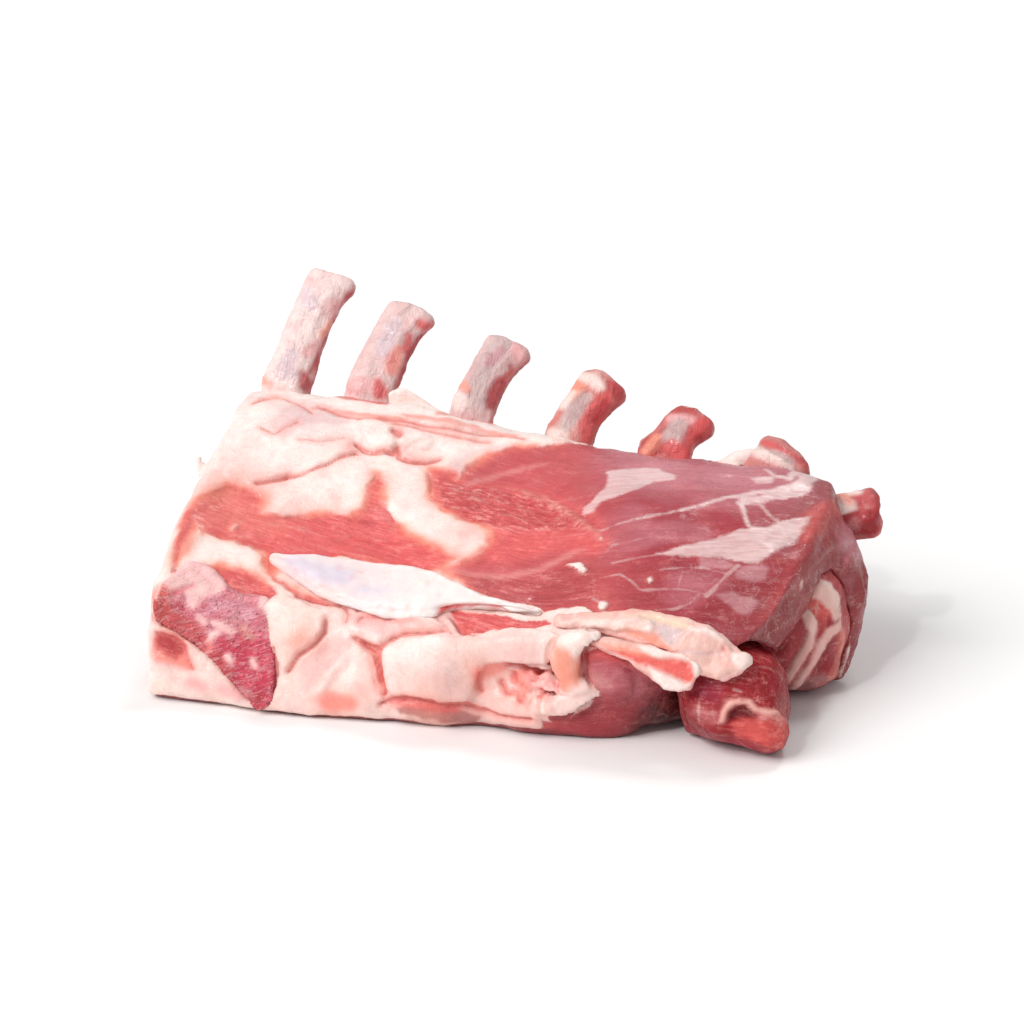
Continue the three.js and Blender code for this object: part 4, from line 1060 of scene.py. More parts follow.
# Forms on the smaller pieces, as seen from the sawn side: the depth y of the plane they are drawn on,
# then tone, share, softness, height, and corners in x and z on that plane.
FORMS = {
    "fat_strip_upper": (-46, [
        ("cream", 0.65, 1, 0.9, [
            (33.5, 31), (35.25, 32.25), (38.25, 33.5), (45, 34.5), (50.25, 34.75), (54.25, 35.75), (58, 35),
            (59.5, 33.5), (58.75, 32), (55.5, 31.75), (52.5, 32.25), (49, 31.5), (45, 31.5), (41, 31),
            (37, 30.75),
        ]),
        ("grey_film", 0.85, 1.2, -0.3, [
            (55.5, 36), (59.5, 36.25), (62.75, 35.75), (67, 33.75), (67, 31.5), (65, 29.25), (62.75, 29.25),
            (60.75, 31.25), (59.75, 33.75), (57.5, 35.5),
        ]),
        ("yellow_fat", 0.9, 0.8, 0.3, [
            (51.25, 35.5), (55.5, 37), (60.75, 37.25), (67.25, 36), (69.5, 34.25), (66.5, 33.75),
            (62, 34.75), (58, 35.5), (54.5, 36.25),
        ]),
        ("orange", 0.85, 1.2, -0.5, [
            (50.5, 31.25), (53.5, 32.25), (57.75, 31.5), (59.75, 31.75), (61.25, 30), (63, 28), (61, 27),
            (58.25, 28.25), (54.5, 30),
        ]),
        ("pink_fat", 0.8, 1.6, 0.3, [
            (42.25, 30.25), (46.5, 30.75), (50.75, 30.5), (55.5, 29), (59.5, 27.25), (63, 26), (61, 24.25),
            (53, 25.25), (45, 27),
        ]),
        ("lobe_pink", 0.85, 1.4, 0.8, [
            (64.5, 28), (65.5, 31.5), (68.5, 34), (72.75, 34.75), (75.75, 33.75), (78.5, 31), (80, 29.25),
            (82.25, 29.25), (84.25, 28.25), (84.5, 26.25), (82.25, 24.5), (78.75, 23.75), (75.5, 21.5),
            (73, 22.75), (71, 23.75), (68.25, 26.25),
        ]),
        ("white_fat", 0.8, 1, 0.3, [
            (68.5, 34.25), (72.75, 35), (75.75, 34), (78.5, 31.5), (77, 31.5), (73.75, 32.75), (70.25, 33),
        ]),
        ("white_fat", 0.8, 1, 0.3, [
            (79.5, 28.5), (82.75, 29.25), (84.5, 28), (84.5, 26.25), (82.25, 24.75), (80.25, 26),
        ]),
        ("red", 0.6, 0.5, -0.7, [(77.25, 30.5), (78.25, 29.5), (78.25, 28.5), (77.25, 29.25)]),
        ("lilac", 0.5, 0.6, -0.5, [
            (65, 28), (68.75, 28.5), (72.5, 28.25), (77, 28.75), (77, 28.25), (72.25, 27.5), (68.25, 27.5),
            (65.25, 27.25),
        ]),
    ]),
    "fat_strip_lower": (-50, [
        ("tip", 1, 0.5, -0.5, [
            (48.5, 27.6), (53, 27.8), (57.5, 27.7), (62, 27), (66.5, 27.3), (70, 27), (71.4, 24.5),
            (69.9, 21.2), (68.4, 20.2), (66.5, 21.4), (63.5, 22.2), (60, 23.6), (55.5, 25), (51, 26.6),
        ]),
        ("orange", 0.85, 1.2, 0.3, [
            (46, 29.5), (52.5, 29.25), (57.75, 28.25), (61.75, 27.25), (65, 27), (56.5, 27), (48.75, 27.75),
        ]),
        ("white_fat", 0.9, 0.9, 0.5, [
            (56.5, 29.75), (60.5, 29.5), (65, 28.25), (69.5, 29.5), (72.25, 27.75), (73, 25.25),
            (71.75, 22.75), (70.5, 24.25), (70.5, 26.5), (67.5, 27.5), (61.75, 27), (57.75, 28.25),
        ]),
        ("white_fat", 0.9, 0.9, 0.5, [
            (58.75, 24.5), (61.75, 23.5), (65, 22.25), (68.25, 20.75), (69.75, 20.75), (66.75, 18.5),
            (63, 18.75), (60.25, 21.25),
        ]),
    ]),
    "end_muscle": (-12, [
        ("dusk", 0.4, 3, 0, [(88.25, 30), (95, 28.5), (94.5, 20.5), (90.25, 12.75), (84.5, 19.25)]),
        ("rose_fat", 1, 1.2, 0.6, [
            (90.25, 32.25), (92.75, 35), (96.5, 37.75), (100.25, 36.75), (103, 33.25), (103.5, 27.75),
            (101, 26.25), (99.25, 29.5), (96, 32), (92.25, 32),
        ]),
        ("tip", 1, 1.4, 0.1, [
            (87.5, 30.75), (91.5, 32.75), (95.5, 32.75), (98.75, 31.25), (100.75, 28.5), (98, 26.5),
            (94, 28.5), (90.75, 30.25),
        ]),
        ("rose_fat", 0.9, 1, 0.5, [
            (85.75, 29.75), (90.25, 30.25), (93.75, 28.75), (96.25, 25.75), (95.75, 20.5), (93.5, 16),
            (90.75, 11.25), (88.5, 7), (87.25, 9.25), (89.75, 13.5), (92.25, 18.75), (93.5, 22.75),
            (91.75, 26.5), (88.25, 28.5),
        ]),
        ("rose_fat", 1, 1, 0.7, [
            (103.25, 28.25), (101.5, 25.5), (98.75, 24), (97, 20.75), (95, 16.25), (92.75, 12.25),
            (90.25, 7.75), (88.75, 5.25), (91, 5.5), (93.75, 9.5), (96.75, 14.5), (98.75, 18.75),
            (100.75, 22.25), (102.75, 23.75),
        ]),
        ("orange", 0.8, 1, 0.3, [
            (103.25, 25), (104.75, 21.75), (104.5, 17.25), (104, 12.25), (101.75, 9), (99.5, 9),
            (102, 13.25), (102.5, 19),
        ]),
        ("brown", 0.6, 2, 0, [
            (98, 21.5), (101.75, 20.75), (101.5, 15), (97.5, 11.5), (94.75, 13.5), (96, 17.75),
        ]),
        ("greyish", 0.5, 1.2, 0.2, [
            (91.75, 7.5), (94.75, 9.5), (98.5, 10.75), (101.25, 9.75), (97, 6.25), (92.25, 5.25),
        ]),
    ]),
    "eye_of_loin": (-52, [
        ("wine", 0.8, 2.2, -0.4, [
            (71.25, 22.25), (74.75, 24.5), (78.25, 23.75), (79, 20.5), (77, 17), (73.5, 17), (70.25, 19),
        ]),
        ("dusk", 0.7, 3, 0, [
            (81.75, 24.25), (89.25, 25), (94.5, 23), (95.5, 19), (88.25, 19.5), (81.75, 20.25),
        ]),
        ("rose", 0.45, 2.2, 0, [
            (71.25, 15.75), (75, 15), (78, 14.25), (78.25, 11.5), (74, 11), (70.25, 12.75),
        ]),
        ("brown", 0.6, 2.5, 0, [
            (68.75, 13.25), (73, 11), (78.75, 10.5), (83.5, 9), (81, 7), (73, 7.5), (68.75, 10.5),
        ]),
        ("tip", 0.95, 2, 0.5, [
            (81.75, 12), (85.25, 14.5), (89.5, 15.25), (94, 16.5), (96.25, 14.5), (97, 10), (94.75, 6.5),
            (90.75, 6.5), (86.5, 7.5), (83, 8.25),
        ]),
        # Painted highlight: pale lines along the upper edge of the bright tip.
        ("pale", 0.7, 1, 0.3, [
            (88, 14.5), (91, 16), (93.75, 15.75), (95.5, 13.25), (94, 12.75), (91.5, 14.25), (89, 13),
        ]),
        ("rose_fat", 0.9, 0.7, 1, [
            (78.25, 11.75), (78.5, 15), (80.25, 18), (83.25, 19), (86.25, 19), (88.25, 17), (91.5, 16.75),
            (93.5, 16.5), (93.25, 15), (90, 15), (87.25, 15.5), (84.75, 17.25), (82.25, 17), (80.75, 15.25),
            (79.75, 12.25),
        ]),
        # Painted shade: the sunk pit inside the lip is laid deep dark red.
        ("deep", 1, 0.9, -1.8, [
            (80.25, 13.75), (81.5, 15.75), (83.5, 17), (85.75, 17), (87.5, 15.5), (89, 14.25), (85.75, 14),
            (82.75, 13.25), (81, 12.5),
        ]),
    ]),
}
# The same on the body, with corners on its chart.
BODY_FORMS = [
    ("haze", 0.55, 5, 0, [
        (-79, 13), (-77, 27), (-72, 34), (-62.5, 35), (-57, 29), (-49, 27), (-49, 18), (-58, 14), (-66, 15),
        (-72, 11),
    ]),
    # Painted highlight: the lit top of the corner ridge at the loose end, in bright orange-red.
    ("tip", 0.55, 2, 0.3, [
        (88.4, 54), (91, 61), (94.8, 67), (96.3, 64.5), (94.5, 52), (92.5, 41), (89.7, 39.5), (88, 46),
    ]),
    ("red", 0.8, 2.5, 0, [
        (-60, -17), (-53, -18.5), (-46, -15), (-46.5, -11), (-50, -11), (-56, -12), (-60, -11),
    ]),
    ("veil", 0.8, 2, 0.2, [(95.5, 75), (101, 68), (102.5, 51), (99, 44), (96.5, 54), (96.8, 65)]),
    ("red", 0.3, 3, 0, [(89, 22), (92.5, 38), (89.5, 38), (85, 12), (83.5, -4), (86.5, -2)]),
    ("red", 0.75, 1.6, 0.5, [
        (41, -19.75), (44.75, -19.75), (52.25, -19), (56.5, -20.25), (60.25, -21.5), (61.5, -23.5),
        (57.5, -24), (52.25, -23.5), (46.25, -23.75), (41.75, -24.25),
    ]),
    ("veil", 0.45, 4, 0.3, [
        (41.75, -25.25), (47.5, -25.25), (54, -24.75), (58, -27), (55.25, -31.5), (49, -33.25),
        (43.75, -34.5),
    ]),
    ("rose_fat", 0.5, 1.6, 0, [(42, -27.75), (45.5, -28), (48.75, -30.25), (46.5, -32), (43.75, -31.5)]),
    ("dusk", 0.8, 4, 0, [
        (35.25, -43.5), (42.75, -36.5), (51.5, -33), (57, -30.5), (55.25, -35.75), (51.5, -41.25),
        (43, -44.25),
    ]),
]
# Marks on each piece: the tone or kind, and a strand of x, y, z and radius.
MARKS = {
    "rib_1": [
        ("lilac", [(-67.5, 46, 88.5, 1.8), (-66, 44, 86.5, 2.4), (-64.5, 43, 85, 1.6)]),
        ("lilac", [(-67.5, 34, 73, 1.6), (-68.5, 32.5, 70.5, 2.6)]),
        ("lilac", [(-70, 31, 68.5, 2), (-67, 31.5, 68, 2)]),
        ("rose", [(-58, 46, 85.5, 1.6), (-58.5, 44.5, 83.5, 1.2)]),
        ("rose", [(-61, 38, 74.5, 2.2), (-63.5, 35.5, 73, 1.6)]),
        ("orange", [(-60.5, 40, 77.5, 1.1), (-59, 43, 79.5, 1.5)]),
        ("orange", [(-75.5, 31.5, 65, 1.4), (-73, 29, 64.5, 1)]),
        ("blood", [(-56, 50, 87, 1.2), (-56, 52, 86.5, 1.4)]),
        ("blood", [(-63.5, 32.5, 67, 1.4), (-63, 32, 64.5, 2.2)]),
        ("blood", [(-62, 34, 68, 0.8), (-61, 38.5, 72.5, 0.8), (-59, 44.5, 78.5, 0.5)]),
    ],
    "rib_2": [
        ("lilac", [(-39.5, 44, 81, 2.2), (-40.5, 40.5, 77.5, 2.6), (-40.5, 38, 74.5, 2)]),
        ("lilac", [(-42.5, 40, 77.5, 1), (-42, 38, 74.5, 1)]),
        ("rose", [(-47.5, 31, 65.5, 3), (-42.5, 32, 66.5, 2)]),
        ("haze", [(-37, 40, 75, 1.4), (-37.5, 38, 72.5, 2.4), (-38, 36.5, 70, 2)]),
        ("red", [(-35, 43.5, 78, 1.1), (-35, 41.5, 75, 1.6), (-34.5, 41.5, 73, 1.2)]),
        ("red", [(-41, 33, 67, 1), (-40, 31.5, 64.5, 2.4)]),
        ("red", [(-32.5, 46.5, 81, 1.5), (-31, 49, 79, 1.2)]),
        ("blood", [
            (-31, 49.5, 78.5, 0.9), (-32.5, 45.5, 76.5, 1.2), (-34.5, 41, 71.5, 1.1), (-36, 38, 67.5, 0.8),
        ]),
    ],
    "rib_3": [
        ("greyish", [
            (-8, 44.5, 77.5, 3), (-10.5, 40, 72.5, 3), (-12.5, 35, 68, 3), (-10.5, 33.5, 64.5, 3),
        ]),
        ("mauve", [(-7.5, 43, 76, 1.6), (-9, 41.5, 74.5, 2.2), (-10, 40, 73, 1.5)]),
        ("rose", [(-3, 45, 76, 2), (-2, 44, 73, 1.4)]),
        ("blood", [(-4, 42, 72, 0.6)]),
        ("red", [(-3.5, 41.5, 70.5, 1), (-5, 39, 69, 1.2)]),
        ("blood", [(-6, 38, 68, 1.8), (-7, 35.5, 65.5, 2.2), (-7.5, 34, 63, 1.8)]),
        ("orange", [(-16, 35.5, 67, 1.5), (-14.5, 34, 66.5, 1)]),
        ("cream", [(-18, 33, 64, 2.2), (-16, 31.5, 63, 2.5)]),
    ],
    "rib_4": [
        ("orange", [(16.5, 41, 68.5, 2.4), (14.5, 38.5, 66, 2.2)]),
        ("cream", [(13.5, 36.5, 64, 2), (15, 39, 66, 1)]),
        ("cream", [(17, 43, 70.5, 1.4), (20, 42, 70, 1.8), (23, 40.5, 68.5, 1.6)]),
        ("greyish", [(19, 38, 65.5, 2.2), (17, 35, 62.5, 2.8), (15, 32, 59.5, 2.4)]),
        ("blood", [(26, 41.5, 69, 2), (27.5, 41.5, 67, 2)]),
        ("red", [(24.5, 39, 66, 2.2), (23, 37, 63, 3), (21.5, 34, 59.5, 3.2), (22, 32, 56, 2.6)]),
        ("blood", [(25, 38.5, 64.5, 1.2), (22.5, 36, 60.5, 1.2)]),
        ("cream", [(11.5, 30.5, 57, 1.8), (15, 30.5, 56.5, 1.4)]),
    ],
    "rib_5": [
        ("rose", [(44, 38.5, 62, 1.6), (49.5, 38.5, 62, 1.6)]),
        ("greyish", [(46.5, 36.5, 60.5, 2.6), (45, 34, 58, 3)]),
        ("red", [(53, 38.5, 60.5, 2.2), (52, 36, 58, 2.8), (51, 33.5, 54.5, 3)]),
        ("blood", [(52.5, 36.5, 57, 1.6), (51.5, 37, 52.5, 1.6)]),
        ("red", [(45.5, 32, 55.5, 2.4), (49, 31.5, 53.5, 2.4)]),
        ("orange", [(41, 33.5, 57.5, 1.4), (40, 32, 55.5, 1.6), (38.5, 30.5, 54, 1.4)]),
    ],
    "rib_6": [
        ("cream", [(68.5, 35.5, 56, 2), (70.5, 34, 55.5, 2), (75, 33, 54, 1.4), (80, 32, 52, 1)]),
        ("greyish", [(74.5, 35.5, 55.5, 1.4), (79, 34.5, 54, 1.4)]),
        ("red", [(70, 39, 57, 0.9), (75, 37, 56.5, 1), (79, 36, 55, 1.1), (82, 36, 53, 1.4)]),
        ("blood", [(83, 37, 53, 1.6), (84, 37.5, 51, 1.4)]),
    ],
    "rib_7": [
        ("cream", [(92, 31, 48, 1.6), (95.5, 30.5, 48.5, 1.5), (98.5, 30.5, 48.5, 1.4)]),
        ("orange", [(93, 30.5, 46, 1.2), (95, 29.5, 46, 1.3), (97, 27.5, 45.5, 1)]),
        ("blood", [(100, 27.5, 46, 1.2), (101, 25, 43.5, 1.4)]),
    ],
    "eye_of_loin": [
        ("film", [
            (84, -23.5, 22, 0.5), (87, -24.5, 20.5, 0.8), (88.5, -25.5, 18, 0.9), (90.5, -27, 15, 0.7),
        ]),
        ("film", [(86, -31, 22.5, 0.4), (88.5, -38.5, 22.5, 0.6), (89.5, -40, 20.5, 0.3)]),
        ("film", [(72, -48.5, 16, 0.8), (72, -49, 13, 1), (72, -48, 9.5, 0.8)]),
        ("film", [(75.5, -48.5, 16.5, 0.5), (75.5, -49.5, 13.5, 0.8), (76.5, -50, 11.5, 0.6)]),
        ("film", [(80.5, -47.5, 19.5, 1), (82.5, -47, 19, 0.9)]),
        ("film", [(69.5, -47, 13, 0.4), (68, -44, 8, 0.6)]),
    ],
    "chine_bone": [
        ("tip", [(-75.5, -46.5, 29, 1.3), (-76, -48.5, 24.5, 1.8), (-74.5, -49.5, 20, 1.5)]),
        ("cap", [
            (-73, -43.5, 30.5, 3), (-70, -42, 31.5, 4), (-66.5, -41.5, 30.5, 4), (-63.5, -41.5, 29.5, 3),
            (-63, -41, 29.5, 1.5),
        ]),
        ("cap", [(-67.5, -44, 28.5, 3), (-67.5, -45.5, 26.5, 2)]),
        ("sawn_pink", [(-62, -44.5, 26.5, 2), (-57, -44.5, 25.5, 2), (-52.5, -44.5, 24.5, 2.4)]),
        ("sawn_pink", [(-63.5, -46.5, 24, 1), (-59, -44.5, 25.5, 0.6), (-55, -43.5, 25.5, 0.6)]),
        ("crimson", [(-57, -49, 18, 2.5), (-52, -49, 17, 3), (-47, -49, 16, 2.5)]),
        ("crimson", [(-56.5, -50, 15, 2), (-52, -50, 13.5, 3)]),
        ("crimson", [(-52, -52.5, 9.5, 3), (-47.5, -53, 9, 4), (-46.5, -50.5, 12.5, 2.5)]),
        ("crimson", [(-72.5, -46, 28.5, 0.6), (-70, -44, 29.5, 0.5), (-68.5, -43, 30, 0.4)]),
        ("crimson", [(-71.5, -47.5, 25.5, 1), (-69.5, -47.5, 24.5, 1)]),
        ("cap", [(-61.5, -47.5, 22, 0.6), (-58.5, -48, 21, 1.1), (-56, -48, 20, 1)]),
        ("cap", [(-65.5, -47, 22.5, 0.9), (-64, -47.5, 22, 1)]),
        ("bone", [
            (-61.5, -50, 15, 0.6), (-62, -49, 16.5, 0.9), (-61.5, -48.5, 18.5, 0.9),
            (-60, -48.5, 19.5, 0.7),
        ]),
        ("marrow", [(-52.5, -47, 21, 0.9), (-52, -47.5, 19.5, 1.1), (-50.5, -47.5, 19, 0.9)]),
        ("bone", [(-56.5, -50.5, 13.5, 1), (-55.5, -51, 13, 1)]),
        ("bone", [(-49.5, -50, 13, 0.8), (-48.5, -51, 12, 0.7)]),
        ("cap", [(-48.5, -42.5, 26.5, 1.4), (-47, -43.5, 25, 1)]),
        ("red", [
            (-74.5, -49, 24.5, 2), (-72, -48.5, 22.5, 2), (-68, -48, 20.5, 2), (-64, -49, 17, 1.6),
            (-60, -50.5, 14, 1.4), (-55.5, -52.5, 10, 1.3),
        ]),
        ("blood", [(-47, -55, 5, 1), (-46, -55, 4.5, 1.4)]),
        ("rose", [(-51.5, -54, 7, 0.4), (-49, -54.5, 5.5, 0.4), (-47.5, -55, 5, 0.3)]),
    ],
    "blade_cartilage": [
        ("bluish", [(-41.5, -33.5, 35.5, 3), (-35, -35, 34.5, 3.5), (-28, -35.5, 34, 3)]),
        ("bluish", [(-47, -32.5, 35.5, 1.4), (-44.5, -33, 35.5, 2)]),
        ("bluish", [(-22.5, -39, 32.5, 1.4), (-14, -38.5, 32.5, 1.4)]),
        ("rim", [
            (-50.5, -31, 35, 1), (-44, -34.5, 33.5, 0.9), (-36.5, -38.5, 31.5, 0.8), (-29, -41, 30.5, 0.8),
        ]),
        ("rim", [(10.5, -39, 33, 1), (16.5, -39.5, 32, 1), (21.5, -39, 31, 1), (27, -39, 31, 1)]),
    ],
    "meat": [
        ("red", [
            (-75, -51.5, 17, 1.8), (-72.5, -51, 16.5, 2.2), (-70.5, -51, 15, 2), (-69.5, -51.5, 13, 1.2),
        ]),
        ("haze", [(-74, -52.5, 14, 2.6), (-70.5, -52, 13, 2.2), (-66.5, -52.5, 11, 1.2)]),
        ("haze", [(-76, -46.5, 29.5, 1.6), (-77, -45.5, 25.5, 1.8)]),
        ("red", [(-76, -48.5, 22, 1.5), (-74.5, -48, 21, 1)]),
        ("orange", [(36, -49, 25, 1.6), (36, -49, 21.5, 2), (37, -47, 17.5, 1.6)]),
        ("haze", [(37.5, -43, 15.5, 1.6), (35.5, -44, 14, 1)]),
        ("cream", [(37, -47, 27.5, 1.4), (39, -45.5, 28, 1.6), (41, -45, 27.5, 1)]),
        ("red", [(42, -45.5, 26.5, 0.9), (45.5, -45, 25.5, 0.9), (50, -45, 25, 1), (55.5, -44.5, 24.5, 1)]),
        ("wine", [(41, -47, 24, 0.7), (40, -46, 21, 0.8), (40, -42, 16, 0.8)]),
        ("wine", [
            (22.5, -46, 19.5, 0.5), (26, -45.5, 19, 0.7), (28.5, -44.5, 18.5, 0.7), (31.5, -44, 17, 0.6),
        ]),
        ("wine", [(29, -44, 16, 1), (30, -43.5, 14.5, 0.8)]),
        ("haze", [(23.5, -45, 15, 2), (25.5, -46, 13.5, 1.4)]),
        ("haze", [(25.5, -48.5, 11.5, 1.6), (27.5, -50, 9.5, 1)]),
        ("rose", [(34.5, -46, 12.5, 1.2), (38.5, -45.5, 12.5, 1)]),
        ("cream", [(29, -49, 10.5, 2), (31.5, -49, 9.5, 2)]),
        ("red", [(-10, -51.5, 7, 0.9), (-2, -52.5, 7.5, 1.2), (7.5, -50.5, 6.5, 1)]),
        ("haze", [(-26.5, -53, 5.5, 2.5), (-21, -53, 5.5, 2)]),
        ("haze", [(18, -45.5, 18, 2), (13.5, -47.5, 16.5, 2.4)]),
        ("rose", [(-62, -53.5, 6, 1.4), (-66, -53.5, 6.5, 1.2)]),
        ("rose", [(-51.5, -54, 5, 1.6), (-56, -53.5, 5.5, 1.6)]),
        ("bone", [(45, -45.5, 12, 1), (48, -44.5, 13, 0.9)]),
    ],
}
# Small limbs that grow out of the body: rows of x, y, z, half width and half thickness. The bulge is
# muscle beside the curled lip, the recess is the meat behind it, which is painted in shadow, and the plug
# closes the inside of the hollow that the loin runs through.
UPRIGHT, CROSSWISE = (0.0, 0.0, 1.0), (0.0, 1.0, 0.0)
BODY_LIMBS = {
    "shred": [
        (-38.5, 33, 58, 2, 0.9, UPRIGHT), (-36.5, 33.5, 60.5, 4.2, 1.3, UPRIGHT),
        (-34.5, 33.8, 61.2, 4.8, 1.4, UPRIGHT), (-31, 34, 60.2, 4, 1.3, UPRIGHT),
        (-26.5, 34, 58.8, 3, 1.2, UPRIGHT), (-21.5, 33.5, 57.4, 2.2, 1.1, UPRIGHT),
        (-16, 33, 56.4, 1.6, 1, UPRIGHT),
    ],
    "nub": [
        (-13.2, 35, 58.5, 1.2, 1.2), (-12, 36, 60.3, 1.9, 1.6), (-9.8, 36.3, 60.1, 1.9, 1.6),
        (-8.2, 35.5, 59, 0.9, 0.9),
    ],
    "rib_fat": [
        (60, 32, 50.5, 2, 1.6, UPRIGHT), (64, 34.2, 52.4, 2.6, 2, UPRIGHT),
        (67.5, 35.2, 53.4, 2.2, 1.8, UPRIGHT), (70, 36, 54, 1.2, 1, UPRIGHT),
    ],
    "spur": [
        (-77, -4, 40.5, 2.6, 2), (-79.3, -5, 45.5, 2.2, 1.6), (-81, -5.2, 49.5, 1.5, 1.1),
        (-82, -5, 53, 0.6, 0.5),
    ],
    "curl": [
        (45, -47, 30.2, 1.4, 1), (41, -48, 29.8, 2.4, 1.4), (38, -49, 27.4, 3.4, 1.7),
        (36.6, -49.4, 24.6, 4, 1.9), (36.4, -49.4, 21.8, 4, 1.9), (37.2, -49.2, 19, 3.4, 1.7),
        (38.6, -48.8, 16.8, 2.6, 1.5), (41, -48.4, 15.2, 2, 1.3), (43.5, -48, 14.2, 1.2, 0.9),
    ],
    "low_fold": [
        (26, -48, 10.8, 1.4, 1.2), (29.5, -49.3, 9.4, 2.2, 1.6), (33, -49.7, 9, 2.8, 1.9),
        (37, -49.5, 10.2, 2.6, 1.7), (40.5, -48.9, 12.2, 2, 1.4), (44, -48, 14, 1, 0.8),
    ],
    "bulge": [
        (42.5, -45, 25.5, 3, 1.8), (44.5, -45, 22, 6.2, 2.9), (46, -44.8, 18, 7.8, 3.1),
        (46.5, -44.6, 14.5, 7, 2.9), (46, -44.2, 11.5, 5, 2.2),
    ],
    "recess": [
        (52, -38.5, 8, 4.5, 4.5), (57, -35.5, 7, 5.2, 5.2), (61, -31.5, 6.6, 5, 5),
        (65, -26, 6.4, 4.4, 4.4),
    ],
    "torn_mass": [
        (23, -44.6, 15.5, 2.6, 1.8), (26.5, -45.3, 15.2, 4.2, 2.5), (30.5, -45.6, 14.4, 4.6, 2.6),
        (34.5, -45.2, 13.6, 3.6, 2.2), (38, -44.8, 13.4, 2, 1.5),
    ],
    "plug": [
        (-70, -18, 19.2, 18.4, 13.4, CROSSWISE), (-44, -18, 17.5, 19.7, 13.6, CROSSWISE),
        (-6, -18, 17, 20.2, 13.6, CROSSWISE), (34, -17, 16.5, 18.7, 13.6, CROSSWISE),
        (49, -14.5, 15, 14.2, 13.4, CROSSWISE),
    ],
    "high_fold": [
        (28, -46.8, 14.9, 1.2, 1), (32, -48, 14.8, 1.6, 1.2), (36, -48.2, 14.4, 1.6, 1.2),
        (40, -48, 13.9, 1.5, 1.1), (43, -47.4, 13.6, 0.9, 0.7),
    ],
}


# ---------------------------------------------------------------- the body of the rack
MUSCLES = ("shoulder_muscle", "loin_muscle", "rim_muscle", "chine_muscle", "corner_muscle", "tail_muscle")
CUT_MUSCLES = MUSCLES[2:5]
FILMS = ("lilac_film", "leaf_film", "rib_film", "inner_film")
FAINT_FILMS = ("window_film", "low_film", "faint_film")
BARE_LIMBS = ("plug", "bulge", "recess")  # the limbs of muscle: all others are fat


def plain_sides(points, normals):
    """1 where the body may be coarser: its back, its underside and its inside."""
    x, y, z = points.T
    away = np.maximum(facing(normals, (0, 1, -0.2), 0.35, 0.6), facing(normals, (0, 0, -1), 0.3, 0.6))
    inside = (y > -38) & (y < 22) & (z < 26) & (x > -74) & (x < 78)
    return np.where(inside, 1.0, away)


def end_seams(y, z):
    """Fat between the muscles where the shoulder end is cut across, in mm into the fat."""
    chart = np.stack([y, z], 1)
    return -np.max([patch(chart, corners) for corners in END_MUSCLES], axis=0)


# Across the fibres, up the slope of the top: the shares of y and z, and how far down it starts.
SLOPE_Y, SLOPE_Z, SLOPE_START = 0.9, 0.42, 8
GRAIN_TURN = 24  # where on the spine the skin over the loin begins and the fibres turn
FIBRE_GAP = 1.9  # from ridge to ridge of the torn fibres


class Body:
    """The body of the rack, with where each point lies and how far it is inside each patch and strand."""

    def __init__(self, surface):
        self.surface = surface
        p = surface.points
        self.x, self.y, self.z = p.T
        self.up = self.y + self.z
        wander = np.stack([noise(p, 3.2, 1), noise(p, 3.2, 2)], 1)
        self.chart = np.stack([self.x, self.up], 1) + 0.7 * wander
        self.depth = {name: patch(self.chart, corners) for name, corners in PATCHES.items()}
        self.lines = {name: surface.strands(chains) for name, chains in STRANDS.items()}
        # The sides that the chart doesn't reach: rib wall, underside and the two ends.
        self.back = surface.facing((0, 1, -0.1), 0.30, 0.5)
        self.under = surface.facing((0, 0, -1), 0.35, 0.6)
        self.shoulder = surface.facing((-1, 0, 0), 0.72, 0.86)
        self.loose = surface.facing((1, 0, 0), 0.60, 0.8) * ramp(60, 70, self.x)
        self.front = (1 - self.back) * (1 - self.under) * (1 - self.shoulder) * (1 - self.loose)
        # Fibres run along the spine, and tilt the other way past the turn.
        tilt = -0.20 + 0.42 * ramp(GRAIN_TURN - 12, GRAIN_TURN + 12, self.x)
        ahead = self.x - GRAIN_TURN
        rise = SLOPE_Y * self.y + SLOPE_Z * self.z + SLOPE_START
        self.run = ahead * np.cos(tilt) + rise * np.sin(tilt)
        self.cross = rise * np.cos(tilt) - ahead * np.sin(tilt)

    def deepest(self, names):
        return np.max([self.depth[name] for name in names], axis=0)

    def along_fibres(self, stretch, size, seed):
        return noise(np.stack([self.run / stretch, self.cross, self.z], 1), size, seed)


def fat_depth(body):
    """How far each point is into the fat, in mm."""
    s = body.surface
    limbs = [
        s.strand([row[:3] + (row[3] + 0.8,) for row in rows])
        for name, rows in BODY_LIMBS.items() if name not in BARE_LIMBS
    ]
    fat = np.max([-body.deepest(MUSCLES), body.lines["speck"], body.lines["white_rim"], *limbs], axis=0)
    wall = 2.5 * s.noise(11, 3, (1, 1, 0.5)) + 1.2 * s.noise(4, 5) + ramp(44, 54, body.z) * 6 - 2.5
    base = 4.0 * s.noise(12, 7, (0.5, 1, 1)) - 1.0 - 4 * ramp(20, 34, body.x)
    seams = end_seams(body.y, body.z) + 0.8 * s.noise(4, 8)
    skin = 2.4 * s.noise(6, 9, (1, 1, 0.6)) - 2.2
    sides = ((body.back, wall), (body.under, base), (body.shoulder, seams), (body.loose, skin))
    for share, values in sides:
        fat = fat + (values - fat) * share
    return fat


def film_depth(body):
    """How far each point is into the thin white skin, and into its threads, in mm."""
    s, band = body.surface, body.lines["band"]
    film = np.maximum(body.deepest(FILMS), band - 0.35)
    film = np.where(body.front > 0.5, film, -4)
    wisps = 0.3 - abs(s.noise(6, 21, (0.4, 1, 1))) * 5
    film = np.maximum(film, np.where(body.back > 0.5, wisps, OUTSIDE))
    return film, np.maximum(body.lines["thread"], band - 0.5) - 0.15 + 0.4 * s.noise(4, 22)


def fat_bleed(body):
    """Where the shoulder muscle fades into the fat through orange and peach."""
    shoulder = ramp(22, 8, body.x) * ramp(-14, -4, body.up)
    return shoulder * np.clip(0.6 + 0.7 * body.surface.noise(7, 35), 0, 1)


